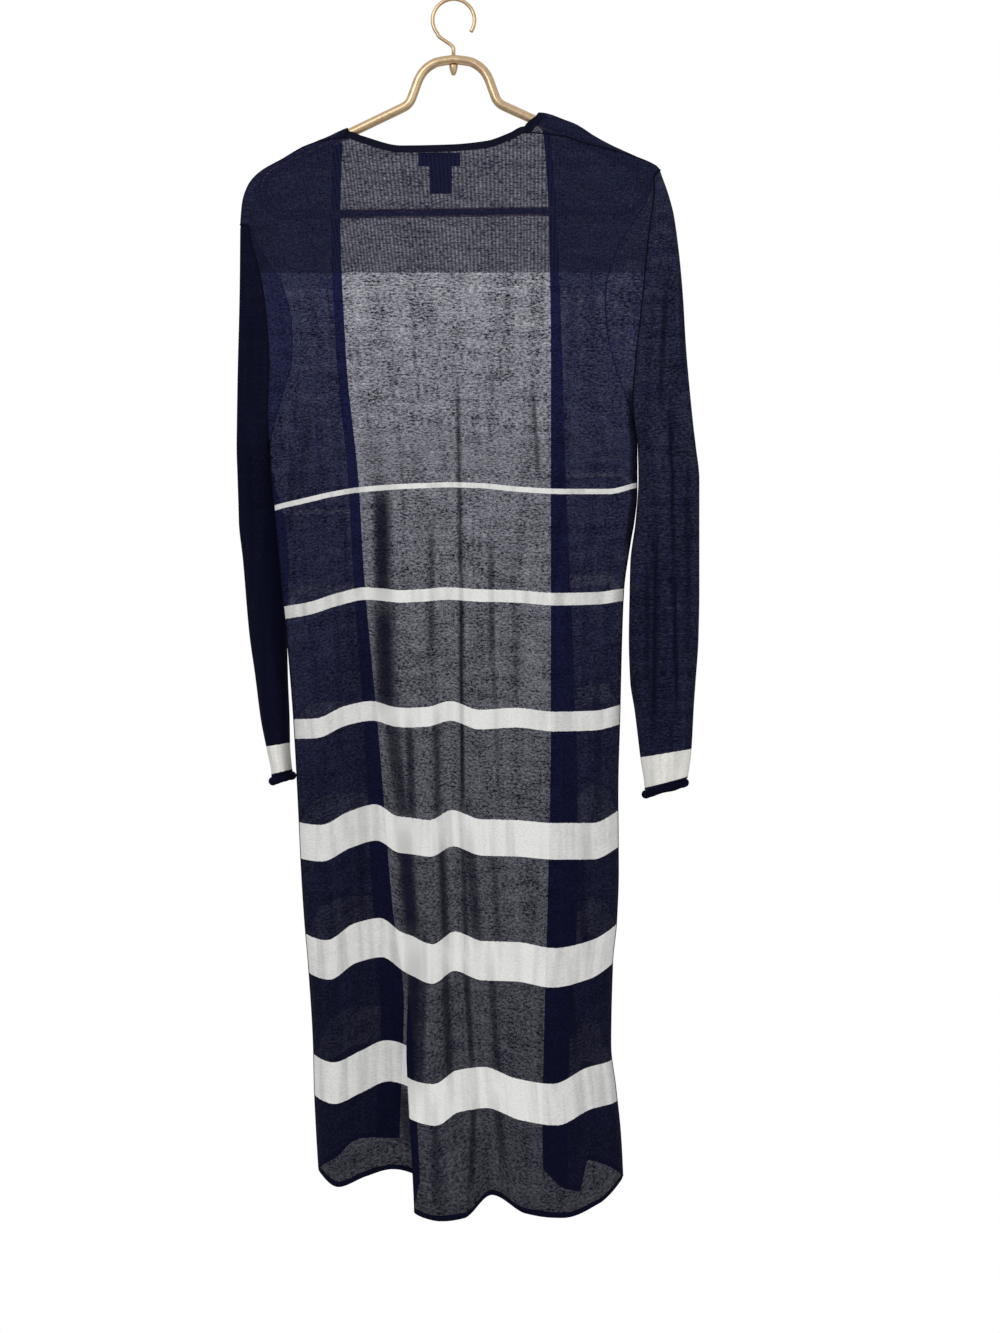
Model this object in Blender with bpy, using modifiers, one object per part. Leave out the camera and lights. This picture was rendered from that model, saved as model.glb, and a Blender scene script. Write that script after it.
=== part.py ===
"""A long open-fronted knitted duster cardigan hanging on a gold hanger.

Every table below is in millimetres. "down" is measured down from the hold point, the inside top of the hook,
x runs to the wearer's right and y runs from the back of the garment to its front.
"""

import math

import bmesh
import bpy
import numpy as np

MM = 0.001
WALL = 1.2
BAND_WALL = 1.8
LABEL_WALL = 1.0
SEAM = 0.3
OUTLINE_TO_MIDDLE = WALL / 2

# The bent bar of the hanger
BAR_RADIUS = 4.5
ARM_SLOPE = math.radians(25.1)
HANGER_TILT = math.radians(0.8)
FOOT_X = 46.2
FOOT_DOWN = 108.0
LOWER_BAR_DOWN = 222.0
TIP_BEND = 25.5
TIP_STEPS = 10
FOOT_ROUND = 7.0
FOOT_LEAN = 0.35
FOOT_STEPS = 3
ARCH = ((41.0, 93.5), (36.0, 80.5), (29.0, 71.0), (17.0, 64.0), (0.0, 61.5))

# The hook and the ferrule under the arch
HOOK_WIRE = 2.0
HOOK_BEND = 20.0
HOOK_START = math.radians(40)
HOOK_TIP_TURN = math.radians(255)
HOOK_STEPS = 20
HOOK_NECK = 16.0
HOOK_NECK_SHARES = (0.35, 0.7, 1.0)
SHANK_HOLE = 2.3
SHANK_HOLE_SIDES = 16
FERRULE = ((2.6, 66.5), (4.6, 68.2), (4.4, 70.0), (3.4, 74.0), (1.5, 78.0))
FERRULE_POINT = 0.4
FERRULE_SIDES = 16

# How the cloth lies over an arm: the radius of its fold, and how far the fold's rows reach past it
LAP = 5.45
LAP_END = 3.0
SLOPE_REACH = 2.0

# The top edge of the back, from the left armhole to the right one; drop is its distance below the fold
# over the arm, and the middle stretch, with a large drop, is the neck
TOP_EDGE = (
    # x, down, drop
    (-223.4, 235.0, 0.0),
    (-221.4, 212.0, 0.0),
    (-215.2, 193.4, 0.0),
    (-203.6, 180.2, 0.0),
    (-180.0, 166.8, 0.4),
    (-154.0, 152.4, 0.8),
    (-136.0, 147.2, 3.0),
    (-112.0, 144.0, 10.6),
    (-98.0, 148.6, 20.0),
    (-55.0, 159.0, 20.0),
    (-4.0, 158.0, 20.0),
    (36.0, 154.0, 20.0),
    (62.0, 145.0, 20.0),
    (75.0, 139.0, 22.0),
    (111.0, 142.0, 16.0),
    (141.0, 151.0, 10.4),
    (167.5, 157.5, 4.6),
    (212.0, 173.0, 0.0),
    (216.5, 177.5, 0.0),
)
LEFT_NECK_POINT = 7
RIGHT_NECK_POINT = 13

# How far each armhole edge is hollowed in from a straight line between the shoulder (0) and the underarm (1)
ARMHOLE = (
    # way, left back, left front, right back, right front
    (0.00, 0.0, 0.0, 0.0, 0.0),
    (0.09, 2.0, 8.0, -1.5, 5.0),
    (0.18, 6.0, 19.0, 0.0, 17.0),
    (0.30, 9.0, 31.0, 1.3, 33.0),
    (0.45, 10.0, 35.0, 2.0, 41.0),
    (0.60, 9.0, 32.0, 3.0, 37.0),
    (0.75, 5.0, 20.0, 4.5, 26.0),
    (0.88, 1.5, 8.5, 4.5, 11.0),
    (1.00, 0.0, 0.0, 0.0, 0.0),
)
ARMHOLE_COLUMNS = {"left back": 1, "left front": 2, "right back": 3, "right front": 4}
ARMHOLE_CLEAR = 0.45
ARMHOLE_ROUND_FROM = 0.72
ARMHOLE_REACH = 0.3

# The outline of the body below the underarm
SIDES = (
    # down, left, right
    (445, -194.0, 190.1),
    (466, -193.8, 193.0),
    (516, -190.0, 193.0),
    (546, -187.0, 190.0),
    (566, -185.0, 186.5),
    (620, -180.0, 179.0),
    (671, -175.0, 177.0),
    (751, -168.5, 175.0),
    (830, -164.0, 173.0),
    (914, -160.0, 173.5),
    (968, -156.5, 171.5),
    (1008, -153.0, 167.5),
    (1096, -147.5, 165.5),
    (1139, -146.5, 170.5),
    (1192, -144.0, 176.0),
    (1240, -141.0, 178.5),
)

# The courses of the back: each hangs below its level at the left seam by the given drop at each share of
# the width, and its folds stand out behind the wearer by the given depth
SHARES = (0.00, 0.07, 0.16, 0.24, 0.31, 0.34, 0.41, 0.48, 0.57, 0.68, 0.80, 0.92, 1.00)
COURSE_LEVEL = (466, 530, 636, 754, 862, 979, 1105, 1226)
COURSE_DROP = (
    (0, -3, -8, -12, -14, -15, -17, -18, -19, -20, -20, -21, -21),
    (0, -6, -14, -19, -21, -22, -23, -24, -23, -19, -17, -17, -24),
    (0, -4, -14, -20, -18, -17, -18, -20, -18, -17, -14, -15, -19),
    (0, -1, -14, -19, -13, -12, -13, -19, -10, -12, -8, -9, -15),
    (0, 2, -12, -19, -7, -6, -3, -13, -4, -3, 0, 0, -12),
    (0, 5, -12, -17, -3, 0, 9, -3, 6, 7, 13, 5, -10),
    (0, 6, -5, -15, -5, 20, 28, 15, 12, 23, 28, 12, 6),
    (0, 14, 4, -1, 7, 40, 49, 47, 25, 42, 46, 33, 8),
)
COURSE_DEPTH = (
    (0, 0, 0, 0, 0, 0, 0, 0, 0, 0, 0, 0, 0),
    (0, 1, 0, -1, 0, 0, 1, 0, 1, 1, 0, 0, 0),
    (0, 3, 0, -3, 0, 1, 2, -2, 2, 2, 3, 1, 0),
    (0, 4, 0, -5, 1, 2, 3, -4, 3, 3, 5, 2, 0),
    (0, 6, 0, -6, 2, 3, 6, -6, 4, 4, 7, 4, 0),
    (0, 7, -1, -8, 2, 4, 9, -6, 4, 6, 9, 4, 0),
    (0, 8, -1, -9, -2, 9, 12, 3, -2, 7, 11, 0, 0),
    (0, 10, 1, -9, -4, 11, 14, 10, -6, 9, 13, 3, 0),
)
HEM = len(COURSE_LEVEL)

# Half the depth of the body behind and before its side seams, by row
BODY_DEPTH = (
    # row, back, front
    (0.0, 5.4, 5.4),
    (0.25, 5.4, 5.4),
    (0.6, 8.0, 7.0),
    (1.0, 12.0, 11.0),
    (3.0, 15.0, 13.0),
    (5.0, 18.0, 15.0),
    (8.0, 22.0, 18.0),
)
SIDE_ROUND = 13.0

# The fronts: where each front edge hangs, the width of its band and the lift of its hem over the back's
FRONT_EDGE = (
    # down, left edge, right edge, left band, right band
    (120, -112.5, 89.5, 6.0, 6.0),
    (145, -116.5, 95.0, 6.0, 6.0),
    (225, -119.0, 100.0, 6.5, 7.0),
    (376, -113.0, 102.4, 8.0, 11.0),
    (507, -100.0, 102.4, 10.0, 15.0),
    (595, -95.0, 102.4, 10.5, 19.0),
    (768, -79.5, 102.4, 14.0, 26.0),
    (952, -64.6, 99.0, 20.0, 31.0),
    (1056, -52.5, 96.0, 24.0, 27.0),
    (1197, -57.0, 93.5, 24.0, 26.0),
    (1250, -57.0, 95.0, 24.0, 26.0),
)
FRONT_SHARES = (0.0, 0.2, 0.42, 0.55, 0.75, 1.0)
FRONT_HEM_DROP = {"left": (0, -8, -26, -29, -29, -29), "right": (0, -8, -14, 20, 16, -4)}
FRONT_FOLD_DEPTH = {"left": (0, 3, -1, 3, 4, 0), "right": (0, 3, -2, 3, 4, 1)}
FRONT_FOLDS_FROM = 2.0
FRONT_SHIFT_OVER = 0.6

# The sleeves, by the distance down: outline, the middle of their depth and half of it
SLEEVES = {
    "left": (
        # down, outer, inner, middle, half depth
        (235, -224.6, -223.0, 0, 5.4),
        (300, -225.2, -200.0, 0, 8.5),
        (400, -227.5, -196.0, 0, 11.0),
        (466, -228.4, -195.3, 0, 11.5),
        (500, -228.6, -190.0, 14, 13.0),
        (542, -228.4, -178.0, 27, 14.5),
        (587, -224.0, -174.5, 29, 15.5),
        (664, -217.0, -175.6, 25, 17.0),
        (708, -210.5, -174.6, 21, 19.0),
        (755, -204.0, -172.6, 18, 20.0),
        (784, -198.0, -172.0, 17, 20.5),
        (812, -193.0, -169.5, 17, 20.5),
        (821, -196.0, -165.5, 17, 21.0),
    ),
    "right": (
        (177.5, 217.0, 216.0, 0, 5.4),
        (188, 221.0, 214.0, 0, 5.6),
        (202, 226.0, 212.0, 0, 6.0),
        (228, 232.6, 210.0, 0, 7.0),
        (303, 241.0, 200.0, 0, 10.0),
        (366, 245.0, 195.0, 0, 11.5),
        (445, 252.4, 191.6, 0, 11.5),
        (503, 258.8, 194.6, 0, 14.0),
        (545, 258.8, 192.2, 0, 16.0),
        (589, 258.8, 187.4, 0, 17.0),
        (620, 258.8, 184.2, 0, 17.0),
        (671, 257.8, 183.4, 0, 16.0),
        (713, 255.0, 184.8, 0, 15.0),
        (743, 253.0, 189.5, 0, 14.0),
        (792, 250.4, 195.8, 0, 13.0),
        (822, 246.5, 200.0, 0, 12.5),
        (831, 245.0, 198.0, 0, 13.0),
    ),
}
CUFF_TILT = {"left": 3.0, "right": 6.5}
CUFF_TILT_FROM = 700.0
SHOULDER_DOWN = {"left": 235.0, "right": 177.5}
UNDERARM_DOWN = {"left": 466.0, "right": 445.0}
CAP_LIFT_ENDS = 0.3

# The neck trim above the neck edge of the back
NECK_TRIM = 6.4
NECK_TRIM_LEAN = 1.2
NECK_TRIM_Y = LAP + (BAND_WALL - WALL) / 2

# The labels inside the back of the neck
NECK_LABEL = {"left": -37.0, "right": 7.0, "top": 159.8, "bottom": 174.3}
CARE_LABEL = {"left": -25.0, "right": -1.6, "top": 163.0, "bottom": 202.7}

# Rows and columns of the walls
ARMHOLE_ROWS = (0.0, 0.1, 0.22, 0.36, 0.5, 0.64, 0.77, 0.88, 0.95, 1.0)
LAP_ROWS_BACK = (-1.0, -0.93, -0.72, -0.47, -0.25)
LAP_ROWS_FRONT = (-1.0, -0.95, -0.8, -0.62, -0.48, -0.36, -0.24, -0.12)
BODY_ROWS = (1.35, 1.7, 2.0, 2.5, 3.0, 3.5, 4.0, 4.5, 5.0, 5.4, 5.8, 6.2, 6.6, 7.0, 7.35, 7.7, 8.0)
SIDE_ARC = (0.0, 30.0, 60.0, 90.0)
BACK_COLUMNS = (
    0.085, 0.12, 0.16, 0.20, 0.24, 0.28, 0.31, 0.325, 0.34, 0.375, 0.41, 0.445, 0.48, 0.525,
    0.57, 0.605, 0.64, 0.68, 0.72, 0.76, 0.80, 0.84, 0.88, 0.915,
)
NECK_ROWS = (0.0, 0.5, 1.0)
COLUMN_CLEAR = 0.01
LABEL_POINTS = 4
WELD = 0.00001
SLEEVE_QUARTER = 4
SLEEVE_ROWS_LEFT = (487, 508, 530, 555, 587, 625, 664, 708, 755, 784, 800, 812, 821)
SLEEVE_ROWS_RIGHT = (474, 503, 530, 560, 589, 630, 671, 713, 743, 770, 792, 810, 822, 831)


def follow(xs, ys, x):
    """The height at x of a smooth curve through the points (xs, ys) that never overshoots them."""
    xs, ys = np.asarray(xs, float), np.asarray(ys, float)
    step = np.diff(xs)
    slope = np.diff(ys) / step
    tangent = np.concatenate([slope[:1], np.zeros(len(xs) - 2), slope[-1:]])
    same_way = slope[:-1] * slope[1:] > 0
    both = np.where(same_way, slope[:-1] + slope[1:], 1.0)
    tangent[1:-1] = np.where(same_way, 2 * slope[:-1] * slope[1:] / both, 0.0)
    x = min(max(x, xs[0]), xs[-1])
    i = min(int(np.searchsorted(xs, x, side="right")) - 1, len(step) - 1)
    t = (x - xs[i]) / step[i]
    start = (1 + 2 * t) * (1 - t) ** 2 * ys[i] + t * (1 - t) ** 2 * step[i] * tangent[i]
    end = t * t * (3 - 2 * t) * ys[i + 1] + t * t * (t - 1) * step[i] * tangent[i + 1]
    return float(start + end)


def column_of(table, column, at):
    rows = np.array(table, float)
    return follow(rows[:, 0], rows[:, column], at)


def blend(a, b, share):
    return a + (b - a) * share


def top_lengths():
    rows = np.array(TOP_EDGE, float)
    return np.concatenate([[0.0], np.cumsum(np.hypot(*np.diff(rows[:, :2], axis=0).T))])


def share_of_corner(index):
    """The share of the top edge's length at one of its rows."""
    lengths = top_lengths()
    return lengths[index] / lengths[-1]


def along_top_edge(share):
    """(x, down, drop, inward normal) on the top edge at a share of its length."""
    lengths = top_lengths()
    columns = np.array(TOP_EDGE, float).T
    at = share * lengths[-1]
    x, down, drop = (follow(lengths, column, at) for column in columns)
    near = (max(at - SLOPE_REACH, 0.0), min(at + SLOPE_REACH, lengths[-1]))
    run = [follow(lengths, columns[0], end) for end in near]
    fall = [follow(lengths, columns[1], end) for end in near]
    length = math.hypot(run[1] - run[0], fall[1] - fall[0])
    return x, down, drop, (-(fall[1] - fall[0]) / length, (run[1] - run[0]) / length)


def lap_length(drop):
    """How far round the arm a point lies from the top of the fold, for its drop below that top."""
    if drop < LAP:
        return LAP * math.acos(1 - drop / LAP)
    return LAP * math.pi / 2 + drop - LAP


def lap_place(length):
    """(distance in from the fold's top, y) at a length round the arm; behind it the length is positive."""
    quarter = LAP * math.pi / 2
    side = 1 if length > 0 else -1
    if abs(length) < quarter:
        angle = abs(length) / LAP
        return LAP * (1 - math.cos(angle)), -side * LAP * math.sin(angle)
    return LAP + abs(length) - quarter, -side * LAP


def lap_point(share, length):
    """(x, down, y) on the cloth at a length round the arm from the fold's top."""
    x, down, drop, normal = along_top_edge(share)
    inward, y = lap_place(length)
    inward -= lap_place(lap_length(drop))[0]
    return x + normal[0] * inward, down + normal[1] * inward, y


def roundness(way):
    """1 where an armhole edge lies flat on the body, falling to 0 at the underarm."""
    if way >= 1:
        return 0.0
    low = max(0.0, (way - ARMHOLE_ROUND_FROM) / (1 - ARMHOLE_ROUND_FROM))
    return math.sqrt(1 - low * low)


def hollow(edge, way):
    return column_of(ARMHOLE, ARMHOLE_COLUMNS[edge], way)


def side_x(side, down):
    x = column_of(SIDES, 1 if side == "left" else 2, down)
    return x + OUTLINE_TO_MIDDLE if side == "left" else x - OUTLINE_TO_MIDDLE


def course(table, share, row):
    """A value of the course table at a share of the back's width and at a row from 1 to 8."""
    lines = [follow(SHARES, line, share) for line in table]
    return follow(range(1, HEM + 1), lines, row)


def course_down(share, row):
    level = follow(range(1, HEM + 1), COURSE_LEVEL, row)
    return level + course(COURSE_DROP, share, row)


def depth(row, column):
    return column_of(BODY_DEPTH, column, max(row, 0.0))


def side_column(k, row, half_depth):
    """How far in from the side edge, and how deep, the k-th column of a rounded side lies."""
    q = roundness(row) if row < 1 else 0.0
    angle = math.radians(SIDE_ARC[k])
    even = k / (len(SIDE_ARC) - 1)
    inward = SIDE_ROUND * blend(1 - math.cos(angle), even, q)
    behind = half_depth * blend(math.sin(angle), 1.0, q)
    return inward, max(behind, SEAM / 2)


def back_flat(share, row):
    """(x, down, y) of the back before its sides are rounded, at a share of its width."""
    start = lap_length(along_top_edge(share)[2]) + SEAM / 2
    end = max(start, LAP * math.pi / 2) + LAP_END
    if row <= 0:
        return lap_point(share, blend(start, end, row + 1))
    if row < 1:
        x, down, _ = lap_point(share, end)
        left, right = (side_x(side, UNDERARM_DOWN[side]) for side in ("left", "right"))
        x = blend(x, left + (right - left) * share, row)
        x += hollow("left back", row) * max(0, 1 - share / ARMHOLE_REACH) ** 2
        x -= hollow("right back", row) * max(0, (share - 1) / ARMHOLE_REACH + 1) ** 2
        return x, blend(down, course_down(share, 1), row), -depth(row, 1)
    left = side_x("left", course_down(0, row))
    right = side_x("right", course_down(1, row))
    y = -depth(row, 1) - course(COURSE_DEPTH, share, row)
    return left + (right - left) * share, course_down(share, row), y


def back_row(row):
    """The points of one row of the back, from the left side to the right."""
    width = back_flat(1, row)[0] - back_flat(0, row)[0]
    ends = range(len(SIDE_ARC))
    points = [back_side_point(k, row, width, "left") for k in ends]
    points += [back_flat(share, row) for share in BACK_COLUMNS]
    return points + [back_side_point(k, row, width, "right") for k in reversed(ends)]


def back_side_point(k, row, width, side):
    inward, behind = side_column(k, row, 1.0)
    share = inward / width if side == "left" else 1 - inward / width
    x, down, y = back_flat(share, row)
    return (x, down, y) if row <= 0 else (x, down, min(y * behind, -SEAM / 2))


def front_inner_x(side, down):
    return column_of(FRONT_EDGE, 1 if side == "left" else 2, down)


def top_share(side, share):
    """The share of the whole top edge at a share of one shoulder seam, from its armhole to its neck point."""
    if side == "left":
        return share * share_of_corner(LEFT_NECK_POINT)
    return 1 - share * (1 - share_of_corner(RIGHT_NECK_POINT))


def front_point(side, share, row):
    """(x, down, y) of a front at a share of its width from the side to its edge."""
    seam_end = 0.0 if side == "left" else 1.0
    on_top = top_share(side, share)
    start = lap_length(along_top_edge(on_top)[2]) - SEAM / 2
    end = -LAP * math.pi / 2 - LAP_END
    top_x, top_down, top_y = lap_point(on_top, blend(start, end, min(row, 0) + 1))
    neck_x = lap_point(top_share(side, 1), end)[0]
    corner_x = lap_point(top_share(side, 0), end)[0]
    shift = front_inner_x(side, FRONT_EDGE[0][0]) - neck_x
    spread = (lap_point(on_top, end)[0] - corner_x) / (neck_x - corner_x)
    top_x += shift * spread**2 * min(1.0, (row + 1) / FRONT_SHIFT_OVER)
    if row <= 0:
        return top_x, top_down, top_y
    if row < 1:
        outer = blend(corner_x, side_x(side, UNDERARM_DOWN[side]), row)
        outer += hollow(f"{side} front", row) * (1 if side == "left" else -1)
        down = blend(top_down, course_down(seam_end, 1), row)
        at_top = (top_x - corner_x) / (front_inner_x(side, FRONT_EDGE[0][0]) - corner_x)
        x = outer + (front_inner_x(side, down) - outer) * blend(at_top, share, row)
        return x, down, depth(row, 2)
    seam_down = course_down(seam_end, row)
    down = seam_down + front_drop(side, share, row)
    outer, inner = side_x(side, seam_down), front_inner_x(side, down)
    fold = max(0.0, (row - FRONT_FOLDS_FROM) / (HEM - FRONT_FOLDS_FROM))
    y = depth(row, 2) + fold * follow(FRONT_SHARES, FRONT_FOLD_DEPTH[side], share)
    return outer + (inner - outer) * share, down, y


def front_drop(side, share, row):
    """How far a course of a front hangs below its level at the side seam."""
    hem = follow(FRONT_SHARES, FRONT_HEM_DROP[side], share)
    grown = max(0.0, (row - 1) / (HEM - 1)) ** 2
    return hem * grown


def band_width(side, down):
    return column_of(FRONT_EDGE, 3 if side == "left" else 4, down)


def front_width(side, row):
    return abs(front_point(side, 1, row)[0] - front_point(side, 0, row)[0])


def seam_shares(side):
    """The shares of a shoulder seam at the back's own columns, so that both edges of the seam match."""
    width = back_flat(1, -1)[0] - back_flat(0, -1)[0]
    arcs = [side_column(k, -1, 1.0)[0] / width for k in range(len(SIDE_ARC))]
    if side == "left":
        neck = share_of_corner(LEFT_NECK_POINT)
        return [share / neck for share in arcs + [s for s in BACK_COLUMNS if s < neck - COLUMN_CLEAR]]
    neck = 1 - share_of_corner(RIGHT_NECK_POINT)
    columns = [1 - s for s in reversed(BACK_COLUMNS) if 1 - s < neck - COLUMN_CLEAR]
    return [share / neck for share in arcs + columns]


def front_row(side, row):
    """The points of one row of a front, from its side seam or armhole to the seam of its band."""
    at_seam = seam_shares(side)
    width = front_width(side, row)
    to_band = 1 - (band_width(side, front_point(side, 1, row)[1]) + SEAM / 2) / width
    arcs = len(SIDE_ARC)
    inner_arc = side_column(arcs - 1, row, 1.0)[0] / width
    points = []
    for k, seam_share in enumerate(at_seam):
        inward, behind = side_column(min(k, arcs - 1), row, 1.0)
        even = blend(inner_arc, to_band, (k - arcs + 1) / (len(at_seam) - arcs + 1))
        share = inward / width if k < arcs else even
        share = blend(seam_share, share, min(row, 0) + 1)
        x, down, y = front_point(side, share, row)
        if row > 0 and k < arcs:
            y = max(y * behind, SEAM / 2)
        points.append((x, down, y))
    points.append(front_point(side, to_band, row))
    return points


def front_band_row(side, row):
    width = front_width(side, row)
    band = band_width(side, front_point(side, 1, row)[1])
    return [front_point(side, 1 - inset / width, row) for inset in (band - SEAM / 2, band / 2, 0.0)]


def armhole_ends(side, way):
    """The points of the back's and the front's armhole edges at one row."""
    width = back_flat(1, way)[0] - back_flat(0, way)[0]
    return back_side_point(0, way, width, side), front_row(side, way)[0]


def sleeve_top_row(side):
    """The sleeve's edge where it laps the shoulder point, from back to front."""
    corner = 0.0 if side == "left" else 1.0
    sign = -1 if side == "left" else 1
    normal = along_top_edge(corner)[3]
    out = (sign * normal[1] * ARMHOLE_CLEAR, -sign * normal[0] * ARMHOLE_CLEAR)
    length = LAP * math.pi / 2 + LAP_END
    points = []
    for k in range(4 * SLEEVE_QUARTER + 1):
        x, down, y = lap_point(corner, length * (1 - k / (2 * SLEEVE_QUARTER)))
        points.append((x + out[0], down + out[1], y))
    return points


def sleeve_armhole_row(side, way):
    """One row of a sleeve above the underarm, from its back edge at the armhole round to its front edge."""
    sign = -1 if side == "left" else 1
    corner_down = armhole_ends(side, 0)[0][1]
    back_end, front_end = armhole_ends(side, way)
    lift = (corner_down - SHOULDER_DOWN[side]) * max(0.0, 1 - way / CAP_LIFT_ENDS)
    row_down = back_end[1]
    outer = column_of(SLEEVES[side], 1, row_down - lift) - sign * OUTLINE_TO_MIDDLE
    q = roundness(way)
    clear = blend(SEAM + WALL, ARMHOLE_CLEAR, 1 - math.sqrt(1 - q * q))
    points = []
    for k in range(4 * SLEEVE_QUARTER + 1):
        turn = k / (2 * SLEEVE_QUARTER) - 1
        end, half = (back_end, depth(way, 1)) if turn < 0 else (front_end, depth(way, 2))
        end_x = end[0] + sign * clear
        centre, half_width = (outer + end_x) / 2, abs(outer - end_x) / 2
        x = centre + sign * half_width * math.cos(math.pi * turn)
        y = half * math.sin(math.pi * turn)
        if abs(turn) > 0.5:
            x = blend(x, blend(centre, end_x, 2 * abs(turn) - 1), q)
            y = blend(y, math.copysign(half, turn), q)
        points.append((x, row_down - lift * math.cos(math.pi / 2 * turn), y))
    return points


def sleeve_row(side, row_down):
    """One closed row of a sleeve below the underarm, starting at its inner edge."""
    sign = -1 if side == "left" else 1
    outer, inner, middle, half = (column_of(SLEEVES[side], k, row_down) for k in (1, 2, 3, 4))
    centre, half_width = (outer + inner) / 2, abs(outer - inner) / 2 - OUTLINE_TO_MIDDLE
    tilted = max(0.0, (row_down - CUFF_TILT_FROM) / (SLEEVES[side][-1][0] - CUFF_TILT_FROM))
    points = []
    for k in range(4 * SLEEVE_QUARTER + 1):
        angle = math.pi * (k / (2 * SLEEVE_QUARTER) - 1)
        across = sign * math.cos(angle)
        down = row_down - CUFF_TILT[side] * tilted * across
        points.append((centre + half_width * across, down, middle + half * math.sin(angle)))
    return points


def metres(point):
    x, down, y = point
    return (x * MM, y * MM, -down * MM)


def material(name, colour, roughness, metallic=0.0):
    made = bpy.data.materials.new(name)
    made.use_nodes = True
    shader = made.node_tree.nodes["Principled BSDF"]
    shader.inputs["Base Color"].default_value = (*colour, 1.0)
    shader.inputs["Roughness"].default_value = roughness
    shader.inputs["Metallic"].default_value = metallic
    return made


def wall(name, rows, thickness, finish):
    """A cloth wall through rows of points, which are the middle of its thickness."""
    mesh = bmesh.new()
    grid = [[mesh.verts.new(metres(point)) for point in row] for row in rows]
    for upper, lower in zip(grid, grid[1:]):
        for k in range(len(upper) - 1):
            mesh.faces.new((upper[k], lower[k], lower[k + 1], upper[k + 1]))
    bmesh.ops.remove_doubles(mesh, verts=mesh.verts, dist=WELD)
    bmesh.ops.recalc_face_normals(mesh, faces=mesh.faces)
    data = bpy.data.meshes.new(name)
    mesh.to_mesh(data)
    mesh.free()
    data.shade_smooth()
    made = bpy.data.objects.new(name, data)
    solidify = made.modifiers.new("wall", "SOLIDIFY")
    solidify.thickness = thickness * MM
    solidify.offset = 0.0
    data.materials.append(finish)
    return made


def tube(name, points, radius, closed_loop, finish):
    """A bent bar or wire of round section along points given as (x, down, y)."""
    curve = bpy.data.curves.new(name, "CURVE")
    curve.dimensions = "3D"
    curve.bevel_depth = radius * MM
    curve.bevel_resolution = 2
    curve.use_fill_caps = not closed_loop
    spline = curve.splines.new("POLY")
    spline.points.add(len(points) - 1)
    for target, point in zip(spline.points, points):
        target.co = (*metres(point), 1.0)
    spline.use_cyclic_u = closed_loop
    curve.materials.append(finish)
    return bpy.data.objects.new(name, curve)


def as_mesh(curve_object, collection):
    """The curve object's own solid as a mesh object of the same name."""
    collection.objects.link(curve_object)
    graph = bpy.context.evaluated_depsgraph_get()
    data = bpy.data.meshes.new_from_object(curve_object.evaluated_get(graph))
    mesh = bmesh.new()
    mesh.from_mesh(data)
    bmesh.ops.remove_doubles(mesh, verts=mesh.verts, dist=WELD)
    mesh.to_mesh(data)
    mesh.free()
    name, placed = curve_object.name, curve_object.matrix_world.copy()
    bpy.data.objects.remove(curve_object)
    made = bpy.data.objects.new(name, data)
    made.matrix_world = placed
    return made


def frame_line():
    """The hanger bar's axis from the arch round each tip and along the lower bar, as (x, down, y)."""
    slope = math.tan(ARM_SLOPE)
    centre_down = LOWER_BAR_DOWN - TIP_BEND
    rise = centre_down - TIP_BEND * math.cos(ARM_SLOPE) - FOOT_DOWN
    centre_x = FOOT_X + rise / slope - TIP_BEND * math.sin(ARM_SLOPE)
    half = [(x, down) for x, down in reversed(ARCH)]
    toward_arch = (FOOT_X - FOOT_LEAN * FOOT_ROUND, FOOT_DOWN - FOOT_ROUND)
    toward_arm = (FOOT_X + FOOT_ROUND, FOOT_DOWN + slope * FOOT_ROUND)
    corner = (FOOT_X, FOOT_DOWN)
    for k in range(FOOT_STEPS + 1):
        share = k / FOOT_STEPS
        first = [blend(a, b, share) for a, b in zip(toward_arch, corner)]
        second = [blend(a, b, share) for a, b in zip(corner, toward_arm)]
        half.append(tuple(blend(a, b, share) for a, b in zip(first, second)))
    for k in range(TIP_STEPS + 1):
        angle = blend(math.pi / 2 - ARM_SLOPE, -math.pi / 2, k / TIP_STEPS)
        half.append((centre_x + TIP_BEND * math.cos(angle), centre_down - TIP_BEND * math.sin(angle)))
    loop = half + [(-x, down) for x, down in reversed(half[1:])]
    cosine, sine = math.cos(HANGER_TILT), math.sin(HANGER_TILT)
    return [(x * cosine, down - x * sine, 0.0) for x, down in loop]


def hanger_frame(collection, cutters, finish):
    line = frame_line()
    frame = as_mesh(tube("hanger_frame", line, BAR_RADIUS, True, finish), collection)
    top_down = ARCH[-1][1]
    bpy.ops.mesh.primitive_cylinder_add(
        vertices=SHANK_HOLE_SIDES, radius=SHANK_HOLE * MM, depth=4 * BAR_RADIUS * MM, location=metres((0.0, top_down, 0.0))
    )
    cutter = bpy.context.active_object
    cutter.name = "shank_hole"
    cutter.hide_render = True
    cutter.display_type = "WIRE"
    for home in list(cutter.users_collection):
        home.objects.unlink(cutter)
    cutters.objects.link(cutter)
    cut = frame.modifiers.new("shank hole", "BOOLEAN")
    cut.operation = "DIFFERENCE"
    cut.object = cutter
    return frame


def hook_line():
    """The hook's axis, from its tip over the top and down its shank through the arch."""
    radius = HOOK_BEND + HOOK_WIRE
    points = []
    for k in range(HOOK_STEPS + 1):
        angle = blend(HOOK_TIP_TURN, 0.0, k / HOOK_STEPS) - HOOK_START
        points.append((-radius * math.cos(angle), HOOK_BEND - radius * math.sin(angle), 0.0))
    neck_x, neck_down, _ = points[-1]
    for share in HOOK_NECK_SHARES:
        ease = share * share * (3 - 2 * share)
        points.append((blend(neck_x, 0.0, ease), neck_down + HOOK_NECK * share, 0.0))
    points.append((0.0, FERRULE[0][1] - SEAM, 0.0))
    return points


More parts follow.
